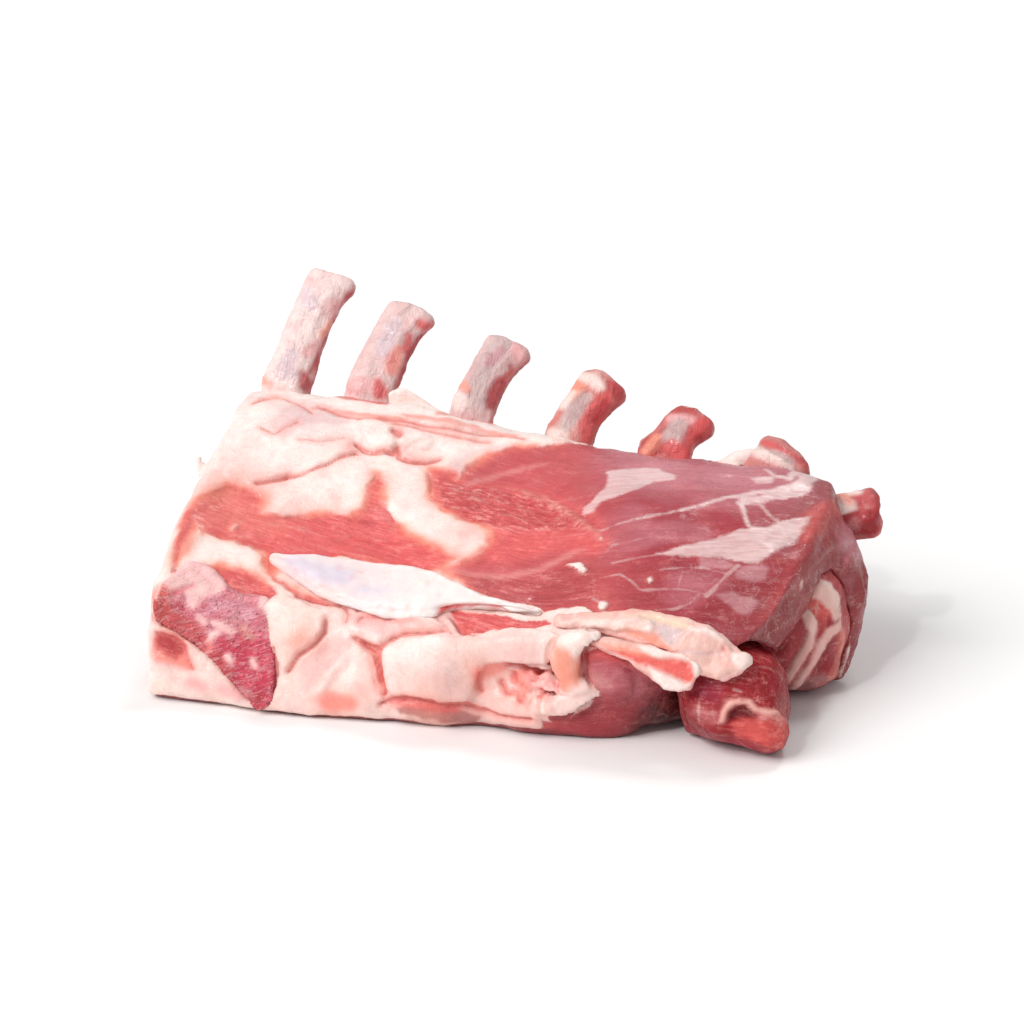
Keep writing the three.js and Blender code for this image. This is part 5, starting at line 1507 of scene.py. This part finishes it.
def paint_muscle(body, fat, bleed):
    """Bright where the muscle is cut, darker and bluer under the thin skin of the loin."""
    s, depth, x, up = body.surface, body.depth, body.x, body.up
    tone = Paint(s.points, "muscle")
    loin = ramp(26, 50, x + 0.25 * (up - 40))
    tone.lay("silverskin", loin * 0.9)
    tone.lay("veil", loin * ramp(42, 72, up) * 0.85)
    tone.lay("veil", ramp(0.0, 0.5, s.noise(9, 14, (0.5, 1, 1))) * loin * 0.45)
    tone.lay("brown", ramp(0.15, 0.7, s.noise(8, 15, (0.5, 1, 1))) * loin * 0.30)
    tone.lay("fresh", ramp(-2, 4, depth["shoulder_muscle"]) * 0.9)
    tone.lay("fresh", ramp(-3, 3, depth["torn"]) * 0.85)
    for name in CUT_MUSCLES:
        tone.lay("fresh", ramp(-2, 1, depth[name]) * 0.8)
    tone.lay("brown", ramp(72, 92, x + 0.12 * (62 - up)) * 0.7)
    tone.lay("brown", ramp(66, 78, x) * ramp(24, 6, up) * 0.4)
    tone.lay("silverskin", ramp(-1, 3, depth["tail_muscle"]) * 0.7)
    # Painted shade: the faces that turn down, to the board and under the overhangs, are laid deep dark red.
    tone.lay("deep", body.under * 0.8)
    tone.lay("brown", body.loose * 0.7)
    tone.lay("veil", body.loose * ramp(0.1, 0.7, s.noise(5, 12)) * 0.2)
    tone.lay("brown", body.back * 0.35)
    tone.lay("faint_skin", ramp(-1.0, 0.8, body.deepest(FAINT_FILMS) + 0.5 * s.noise(3, 37)) * 0.45)
    tone.lay("salmon", ramp(-1.2, 0.4, body.lines["torn_ridge"] + 0.5 * s.noise(3, 36)) * 0.7)
    # Painted shadow: the meat of the recess behind the curled lip is laid almost black.
    recess = np.maximum(s.dab((57, -39, 5), 8), s.dab((63, -32, 6), 10))
    tone.lay("shadow", np.minimum(1, recess * 1.3))
    streaks = s.noise(2.2, 51, (0.25, 1, 1))
    tone.lay("pale", ramp(0.25, 0.8, streaks) * ramp(-1, 3, depth["shoulder_muscle"]) * 0.45)
    tone.lay("blood", ramp(-0.35, -0.9, streaks) * ramp(20, 8, x) * 0.35)
    tone.lay("ember", ramp(-3.6, 0.4, fat) * (0.10 + 0.85 * bleed))
    tone.lay("pale", ramp(-1.6, 0.4, body.lines["seam"] + 0.5 * s.noise(3, 53)) * 0.42)
    for name, at, radius in TINTS:
        if name in ("blood", "orange", "red"):
            tone.lay(name, s.dab(at, radius * 1.2) * 0.4)
    for name, share, soft, _, corners in BODY_FORMS:
        tone.lay(name, ramp(-soft, soft, patch(body.chart, corners)) * share)
    return tone


def paint_fat(body, fat, bleed):
    """Cream and white fat with its stains, and blood in its creases and among the shreds."""
    s, x, up = body.surface, body.x, body.up
    fatty = Paint(s.points, "cream")
    fatty.lay("white_fat", ramp(-0.3, 0.4, s.noise(16, 31) + 0.3 * ramp(-60, 0, x)) * 0.6)
    fatty.lay("white_fat", ramp(-20, 6, up) * 0.75)
    fatty.lay("pink_fat", ramp(-12, -20, up) * ramp(-0.2, 0.5, s.noise(13, 33)) * 0.35)
    fatty.lay("pink_fat", ramp(0.15, 0.6, s.noise(5, 34)) * 0.25)
    fatty.lay("rose_fat", ramp(-28, -46, up) * ramp(-20, -8, x) * 0.4)
    fatty.lay("cream", ramp(-1, 3, body.depth["pillow"]) * 0.5)
    for name, share, soft, corners in STAINS:
        fatty.lay(name, ramp(-soft / 2, soft / 2, patch(body.chart, corners)) * share)
    fatty.lay("peach", ramp(4.2, 0.8, fat) * bleed * 0.9)
    fatty.lay("ember", ramp(2.4, -0.4, fat) * bleed * 0.7)
    fatty.lay("haze", ramp(1.6, -0.6, fat) * 0.20 * (1 - bleed))
    for name, at, radius in TINTS:
        fatty.lay(name, s.dab(at, radius * 1.2) * 0.4)
    paint_marks(s, fatty, "meat", soft=1.3, share=0.8)
    return fatty


def cut_creases(body, fatty):
    """Sinks each crease, and lays blood red along it, partly as painted shade. Gives how far each point is
    inside a crack, in mm.
    """
    s = body.surface
    crack = np.full(len(s.points), -6.0)
    for deep, name, rows in CREASES.values():
        inside = s.strand(rows) + 0.25 * s.noise(2.2, 48)
        s.raise_by(-1.1 * deep * ramp(-0.6, 0.3, inside))
        # A halo of haze and the crease's own tone are laid along each crease, partly as painted shade.
        fatty.lay("haze", ramp(-2.2, 0.2, inside) * 0.30)
        fatty.lay(name, ramp(-0.6, 0.4, inside) * 0.40)
        thin = s.strand([row[:3] + (0.30 + 0.20 * row[3],) for row in rows])
        crack = np.maximum(crack, thin - 0.5 * max(0.0, 0.8 - deep))
    return crack


def tear_shreds(body, fatty):
    """The torn shreds of fat in the hollow under the long flap, with red pits between them."""
    s = body.surface
    shreds = s.dab((29, -46.5, 14), 6.5)
    pits = shreds * ramp(0.0, 0.5, s.noise(1.9, 52))
    fatty.lay("haze", shreds * ramp(-0.3, 0.4, s.noise(2.4, 49)) * 0.6)
    fatty.lay("fresh", pits * 0.8)
    s.raise_by(shreds * (0.8 * s.noise(2.4, 49) + 0.4 * s.noise(1.3, 50)) - 0.6 * pits)


def torn_share(body, ripple):
    """How torn the fibres are at each point, from 0 to 1."""
    depth = body.depth
    torn = np.maximum(ripple, 0.55 * ramp(-1, 2, depth["fibrous_band"]))
    torn = np.maximum(torn, 0.3 * ramp(-1, 2, body.deepest(("shoulder_muscle", "torn"))))
    for name in CUT_MUSCLES:
        torn = np.maximum(torn, 0.6 * ramp(-1, 1, depth[name]))
    return torn * body.front


def raise_fat(body, raised, bleed):
    """Fat, flaps, forms and films stand up from the muscle, and the loose end is hollowed."""
    s, front = body.surface, body.front
    s.raise_by(-2.6 * s.dab((86, -31, 28), 11) - 1.6 * s.dab((91, -20, 34), 9))
    s.raise_by(0.5 * raised * front * (1 - 0.75 * np.clip(bleed, 0, 1)))
    for _, _, _, height, corners in BODY_FORMS:
        s.raise_by(height * ramp(-0.6, 0.8, patch(body.chart, corners)))
    for height, corners in FLAPS.values():
        inside = patch(body.chart, corners)
        s.raise_by(height * (0.7 * ramp(-0.7, 0.8, inside) + 0.3 * ramp(0, 6, inside)) * front)
    s.raise_by(0.6 * ramp(-1.4, 0.5, body.lines["ridge"]))
    s.raise_by(0.7 * ramp(-1.3, 0.4, body.lines["torn_ridge"]))
    s.raise_by(0.25 * ramp(-0.8, 0.8, body.lines["speck"]))
    wall = ramp(-8, -16, body.up) * front
    s.raise_by((0.40 * s.noise(11, 41) + 0.26 * s.noise(5, 42)) * raised * (1 + 0.6 * wall))
    s.raise_by((0.10 + 0.06 * wall) * s.noise(2.4, 43))


def tear_muscle(body, tone, torn, ripple, raised):
    """Ridges and troughs of torn fibres, pale on top as painted highlight, and blood red between as painted
    shade.
    """
    s, bare = body.surface, 1 - raised
    tears = body.along_fibres(3.0, 1.7, 44)
    waves = np.sin(2 * math.pi * (body.cross + 0.9 * s.noise(5, 45)) / FIBRE_GAP)
    waves = waves * ramp(-0.3, 0.4, s.noise(3, 46))
    s.raise_by((0.40 * tears + 0.34 * waves * ripple) * torn * bare)
    s.raise_by(0.12 * tears * (1 - torn) * bare)
    s.raise_by(0.35 * body.along_fibres(2.5, 6, 47) * bare * body.front)
    # Painted shade in the troughs and painted highlight on the ridges, from the same field that raises
    # them.
    tone.lay("blood", ramp(-0.2, -0.9, tears + 0.4 * waves) * ripple * 0.3)
    tone.lay("pale", ramp(0.1, 0.6, tears + 0.4 * waves) * ripple * 0.6)


def meat_body():
    """Paints the fat, skin and muscle of the body, and raises or cuts its surface to match."""
    limbs = [limb_mesh(rows) for rows in BODY_LIMBS.values()]
    s = Surface(soft_copy("meat_body", "meat", spacing=0.7, rounds=8, extra=limbs, spare=plain_sides))
    body = Body(s)
    fat = fat_depth(body)
    film, thread = film_depth(body)
    bleed = fat_bleed(body)
    ripple = ramp(-1, 3, body.depth["torn"]) * ramp(27, 35, body.up)
    torn = torn_share(body, ripple)
    raised = ramp(-0.8, 1.2, fat)
    tone = paint_muscle(body, fat, bleed)
    fatty = paint_fat(body, fat, bleed)
    raise_fat(body, raised, bleed)
    s.raise_by(0.12 * ramp(-0.3, 0.6, film) * body.front)
    crack = cut_creases(body, fatty)
    tear_shreds(body, fatty)
    tear_muscle(body, tone, torn, ripple, raised)
    web = 0.26 * body.loose * ramp(-0.5, 0.5, s.noise(9, 13))
    s.set_number("web", web + 0.14 * ramp(44, 70, body.x) * ramp(44, 24, body.up))
    soft = 0.45 + 1.9 * bleed + 1.6 * s.dab((-73, -51.5, 13.5), 6)
    grain = body.run, body.cross, SLOPE_Y * body.z - SLOPE_Z * body.y
    flesh_layers(s, tone, fatty, grain, fat, film, thread, crack, torn, soft)
    finish_piece(s, FLESH, "meat")


# ---------------------------------------------------------------- what lies on and in the body
def marked(surface, piece, kind):
    """How far each point is inside the marks of this kind, in mm."""
    return surface.strands([rows for name, rows in MARKS[piece] if name == kind])


def paint_marks(surface, paint, piece, soft=0.8, share=0.9):
    """Lays each mark that names a tone over the colours."""
    for name, rows in MARKS[piece]:
        if name in TONES:
            paint.lay(name, ramp(-soft, soft, surface.strand(rows)) * share)


# How far the line of sight on the sawn side slips along the spine and upwards, for each mm it goes in.
SIGHT_ALONG, SIGHT_UP = 0.287, 0.379


def lay_forms(surface, paint, node):
    """Lays the forms drawn for this piece over the colours, and raises or sinks the surface there.
    Gives how far each point is inside the seams of rose fat, in mm."""
    level, forms = FORMS[node]
    x, y, z = surface.points.T
    # Points on one line of sight from the sawn side fall on the same spot of the drawing plane.
    chart = np.stack([x + SIGHT_ALONG * (y - level), z + SIGHT_UP * (y - level)], 1)
    chart += 0.35 * np.stack([surface.noise(2.5, 140), surface.noise(2.5, 141)], 1)
    seen = surface.facing((0.3, -0.9, 0.35), -0.15, 0.1)
    seams = np.full(len(seen), OUTSIDE)
    for name, share, soft, height, corners in forms:
        inside = patch(chart, corners)
        paint.lay(name, ramp(-soft, soft, inside) * share * seen)
        surface.raise_by(height * ramp(-0.6, 0.7, inside) * seen)
        if name == "rose_fat":
            seams = np.maximum(seams, np.where(seen > 0.5, inside, OUTSIDE))
    return seams


def press_out(surface, face, far):
    """Swells the rim of a piece that is set in the body, so that no gap shows round it."""
    face = np.array(face, float) / np.linalg.norm(face)
    surface.raise_by(far * ramp(0.85, 0.45, abs(surface.normals @ face)))


def finish_piece(surface, material, node):
    """Gives a piece its last shape and its material, hangs it under the root body, and hides the CAD node
    that it stands in for.
    """
    surface.settle()
    surface.piece.data.materials.append(material)
    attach(surface.piece, "root")
    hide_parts(node)


NOWHERE = -6.0  # the depth into a layer that a piece doesn't have, in mm


def flesh_layers(
    surface, tone, fatty, grain, fat, film=NOWHERE, thread=NOWHERE, crack=NOWHERE, torn=0.25, soft=0.6
):
    """Keeps what the flesh materials read: depths in mm, shares, two colours and the fibres' run."""
    depths = {"fat": fat, "film": film, "thread": thread, "crack": crack}
    layers = {name: np.clip(depth, -8, 8) for name, depth in depths.items()}
    for name, values in {**layers, "torn": torn, "soft": soft}.items():
        surface.set_number(name, np.broadcast_to(values, len(surface.points)))
    surface.set_colour("tone", tone)
    surface.set_colour("fat_tone", fatty)
    surface.set_vector("grain", *grain)


def loin_roll():
    """The eye of the loin, which hangs out of the loose end in a dark roll with a torn notch."""
    s = Surface(soft_copy("loin_roll", "eye_of_loin", spacing=0.8, rounds=6, swell=0.2))
    x, y, z = s.points.T
    thread = marked(s, "eye_of_loin", "film") - 0.6
    thread = np.maximum(thread, -0.05 - 5 * abs(s.noise(8, 51, (1, 0.5, 0.8))))
    cut = s.facing((-1, 0, 0), 0.7, 0.85)
    tone = Paint(s.points, "loin")
    tone.lay("muscle", cut)
    tone.lay("dusk", ramp(-0.2, 0.5, s.noise(7, 52)) * 0.6)
    tone.lay("wine", s.facing((-0.3, 0, -1), 0.3, 0.9) * 0.7)
    tone.lay("rose", ramp(0.35, 0.7, s.noise(3, 56)) * 0.25)
    lip = lay_forms(s, tone, "eye_of_loin")
    fat = np.maximum(lip - 0.2, -3 + 2 * s.noise(5, 53))
    lengthwise, crosswise = (x, 0.8 * y + 0.6 * z, 0.8 * z - 0.6 * y), (0.3 * z, y, x)
    grain = [np.where(cut > 0.5, across, along) for along, across in zip(lengthwise, crosswise)]
    fatty = Paint(s.points, "rose_fat")
    flesh_layers(s, tone, fatty, grain, fat, thread=thread, torn=0.35 + 0.5 * cut)
    s.raise_by(0.5 * s.noise(9, 54) + 0.28 * s.noise(3.5, 55, (0.5, 1, 1)) + 0.14 * s.noise(1.8, 57))
    finish_piece(s, LOIN_FLESH, "eye_of_loin")


def end_flap():
    """The end muscle, with its cap and slanting seam of fat."""
    s = Surface(soft_copy("end_flap", "end_muscle", spacing=0.8, rounds=5, swell=0.25))
    x, y, z = s.points.T
    thread = 0.15 - 6 * abs(s.noise(5, 61, (1, 1, 0.6)))
    tone = Paint(s.points, "muscle")
    tone.lay("dusk", ramp(-0.3, 0.6, s.noise(8, 62)) * 0.7)
    # Painted shade: the faces that turn down are laid deep dark red.
    tone.lay("deep", s.facing((0, 0, -1), 0.3, 0.9) * 0.7)
    fat = lay_forms(s, tone, "end_muscle")
    fatty = Paint(s.points, "lobe_pink")
    fatty.lay("cream", ramp(-0.1, 0.5, s.noise(6, 65)) * 0.6)
    fatty.lay("rose", ramp(26, 8, z) * 0.4)
    grain = 0.5 * y + 0.85 * z, x, 0.85 * y - 0.5 * z
    flesh_layers(s, tone, fatty, grain, fat, thread=thread)
    s.raise_by(0.4 * s.noise(7, 63) + 0.2 * s.noise(2.6, 64))
    finish_piece(s, LOIN_FLESH, "end_muscle")


def sawn_chine():
    """The sawn chine bone with its cap of gristle."""
    s = Surface(soft_copy("sawn_chine", "chine_bone", spacing=0.6, rounds=4, swell=0.6))
    x, y, z = s.points.T
    tone = Paint(s.points, "sawn")
    tone.lay("rose", ramp(-0.3, 0.5, s.noise(6, 71)) * 0.5)
    tone.lay("crimson", ramp(25, 10, z) * 0.75 + ramp(0.0, 0.6, s.noise(5, 72)) * 0.35)
    tone.lay("tip", ramp(-70, -76, x + 0.3 * z - 8) * 0.6)
    paint_marks(s, tone, "chine_bone", soft=1.2, share=0.8)
    solid = np.maximum(marked(s, "chine_bone", "cap"), marked(s, "chine_bone", "bone"))
    s.set_colour("tone", tone)
    s.set_number("solid", ramp(-1.2, 0.6, solid))
    s.set_vector("grain", 0.9 * x + 0.4 * z, z - 0.4 * x, y)
    sawn_face = (0, -0.9, 0.4)
    s.raise_by(0.35 * ramp(-1, 0.6, solid) - 0.45 * ramp(-1, 0.8, marked(s, "chine_bone", "crimson")))
    press_out(s, sawn_face, 0.9)
    s.raise_by(-0.6 * s.facing(sawn_face, 0.5, 0.9))
    s.raise_by(0.45 * s.noise(5, 73) + 0.42 * s.noise(2.2, 74, (0.6, 1, 1.2)))
    finish_piece(s, SAWN_BONE, "chine_bone")


def blade():
    """The smooth piece of blade cartilage under the shoulder muscle, notched where its tip thins."""
    s = Surface(soft_copy("blade_gristle", "blade_cartilage", spacing=0.6, rounds=8, swell=0.3))
    x = s.points[:, 0]
    notch = ramp(-2, 4, x) * ramp(20, 12, x) * s.facing((0, -1, -0.5), 0.3, 0.7)
    tone = Paint(s.points, "gristle")
    paint_marks(s, tone, "blade_cartilage", soft=2.4, share=0.75)
    tone.lay("white_fat", ramp(-24, -4, x) * 0.7)
    tone.lay("fresh", ramp(0.1, 0.6, notch + 0.3 * s.noise(2.5, 83)))
    s.set_colour("tone", tone)
    upper_face = (0, -0.7, 0.7)
    s.raise_by(0.25 * s.noise(6, 81, (0.5, 1, 1)) + 0.3 * ramp(-1, 1, marked(s, "blade_cartilage", "rim")))
    s.raise_by(0.8 * ramp(-24, -12, x) * ramp(4, -6, x) - 0.5 * ramp(-34, -46, x))
    s.raise_by(-0.9 * ramp(3, 12, x) - 0.9 * ramp(17, 26, x))
    press_out(s, upper_face, 0.5)
    s.raise_by(-3.0 * notch)
    s.raise_by(-0.5 * s.facing(upper_face, 0.5, 0.9) + 0.35 * s.noise(3.5, 82))
    finish_piece(s, GRISTLE, "blade_cartilage")


def strip(name, node, seed):
    """A loose strip of fat with some muscle in it."""
    s = Surface(soft_copy(name, node, spacing=0.5, rounds=4, swell=0.2))
    x, y, z = s.points.T
    fatty = Paint(s.points, "lobe_pink")
    fatty.lay("rose_fat", ramp(0.0, 0.7, s.noise(7, seed)) * 0.6)
    fatty.lay("rose", s.facing((0, -0.3, -1), 0.2, 0.8) * 0.6)
    fatty.lay("cream", ramp(0.1, 0.6, s.noise(2.6, seed + 3)) * 0.5)
    lay_forms(s, fatty, node)
    grain = x - 0.3 * z, y, z
    flesh_layers(s, Paint(s.points, "tip"), fatty, grain, fat=3.0, torn=0.15)
    s.raise_by(0.32 * s.noise(4, seed + 1) + 0.22 * s.noise(1.8, seed + 2))
    finish_piece(s, STRIP_FAT, node)


def bared_rib(number, base):
    """A scraped rib: pale in front, bloody at its cut end, and dark red along the back edge, partly blood
    and partly painted shade.
    """
    node = f"rib_{number}"
    s = Surface(soft_copy(f"bared_{node}", node, spacing=0.6, rounds=4, swell=0.2))
    middle = s.points.mean(0)
    spread = np.linalg.eigh(np.cov((s.points - middle).T))[1]
    last = number == len(RIB_TONES)
    along = spread[:, 2] * np.sign(spread[0 if last else 2, 2])
    t = (s.points - middle) @ along
    top = t.max()
    tone = Paint(s.points, base)
    # Dark red and blood on the faces that turn right and down: partly blood on the bone, partly painted
    # shade.
    edge = s.facing((0.75, 0.1, -0.6), 0.35, 0.75)
    tone.lay("red", edge * (0.55 + 0.35 * s.noise(5, 150 + number)))
    tone.lay("blood", s.facing((0.9, 0.3, -0.4), 0.62, 0.9) * 0.8)
    tone.lay("rose", ramp(0.0, 0.6, s.noise(6, 90 + number)) * 0.4)
    if last:
        tone.lay("cream", s.facing((-0.2, 0.1, 1), 0.45, 0.8) * 0.9)
        tone.lay("blood", ramp(top - 7, top - 4.5, t + 0.8 * s.noise(3, 160)) * 0.9)
        s.raise_by(0.5 * s.noise(2.6, 161) * ramp(top - 7, top - 4, t))
    else:
        tone.lay("rose", s.facing(along, 0.80, 0.93) * ramp(top - 6, top - 3, t) * 0.7)
    paint_marks(s, tone, node, soft=1.1, share=0.85)
    s.set_colour("tone", tone)
    s.set_vector("grain", t, (s.points - middle) @ spread[:, 1], (s.points - middle) @ spread[:, 0])
    scraps = np.maximum(marked(s, node, "cream"), marked(s, node, "orange"))
    s.raise_by(0.3 * ramp(-0.8, 0.6, scraps) - 0.25 * ramp(-0.8, 0.8, marked(s, node, "blood")))
    if number <= KNOBBED_RIBS:
        # The scraped end flares out to a knob on the loose side, above a narrower neck.
        neck = ramp(top - 24, top - 14, t) * ramp(top - 4, top - 12, t)
        flare = 1.2 * ramp(top - 10, top - 1.5, t) - 0.6 * neck
        s.raise_by(flare * s.facing((1, 0, 0), 0.0, 0.8))
    s.raise_by(0.32 * s.noise(4.5, 100 + number) + 0.16 * s.noise(1.6, 110 + number))
    finish_piece(s, BARED_BONE, node)


meat_body()
loin_roll()
end_flap()
sawn_chine()
blade()
strip("upper_strip", "fat_strip_upper", 120)
strip("lower_strip", "fat_strip_lower", 130)
for number, base in enumerate(RIB_TONES, 1):
    bared_rib(number, base)


# ---------------------------------------------------------------- floor, light and camera
def floor():
    """A wide pale sheet under the rack."""
    material, tree, shader = new_material("pale_floor")
    shade = cloud(own_place(tree), 3.0)
    wire(blended(shade, (0.93, 0.93, 0.93), (0.95, 0.95, 0.95)), shader.inputs["Base Color"])
    shader.inputs["Roughness"].default_value = 0.9
    made = bmesh.new()
    bmesh.ops.create_grid(made, x_segments=1, y_segments=1, size=6.0)
    mesh = mesh_from(made, "floor")
    mesh.materials.append(material)
    new_object("floor", mesh)


def soft_light(name, source, strength, spread, tint=(1.0, 1.0, 1.0)):
    """A far light from this direction, as soft as a box of this spread in degrees."""
    lamp = bpy.data.lights.new(name, "SUN")
    lamp.energy = strength
    lamp.angle = math.radians(spread)
    lamp.color = tint
    made = new_object(name, lamp)
    made.rotation_euler = Vector(source).to_track_quat("Z", "Y").to_euler()


VIEW_TARGET = (np.array([4.0, 15.0, 38.0]) + DRAWING_ZERO) * MM
VIEW_TURN = math.radians(16)
VIEW_LIFT = math.radians(20)
VIEW_DISTANCE = 0.75


def camera():
    """The view of the sawn side, a little from above and from the loose end."""
    lens = bpy.data.cameras.new("camera")
    lens.lens = 94
    lens.sensor_width = 36
    level = math.cos(VIEW_LIFT)
    back = Vector((math.sin(VIEW_TURN) * level, -math.cos(VIEW_TURN) * level, math.sin(VIEW_LIFT)))
    made = new_object("camera", lens)
    made.location = Vector(VIEW_TARGET) + back * VIEW_DISTANCE
    made.rotation_euler = (-back).to_track_quat("-Z", "Y").to_euler()
    bpy.context.scene.camera = made


floor()
soft_light("key", (-0.60, -0.62, 0.80), 2.05, 40, (1.0, 0.99, 0.975))
soft_light("top", (0.15, 0.55, 1.0), 0.65, 14)
soft_light("glint", (-0.30, -0.80, 0.80), 0.35, 3)
camera()
world = bpy.data.worlds.new("studio")
world.use_nodes = True
world.node_tree.nodes["Background"].inputs["Color"].default_value = (1, 1, 1, 1)
world.node_tree.nodes["Background"].inputs["Strength"].default_value = 0.43
bpy.context.scene.world = world
bpy.context.scene.view_settings.view_transform = "Standard"
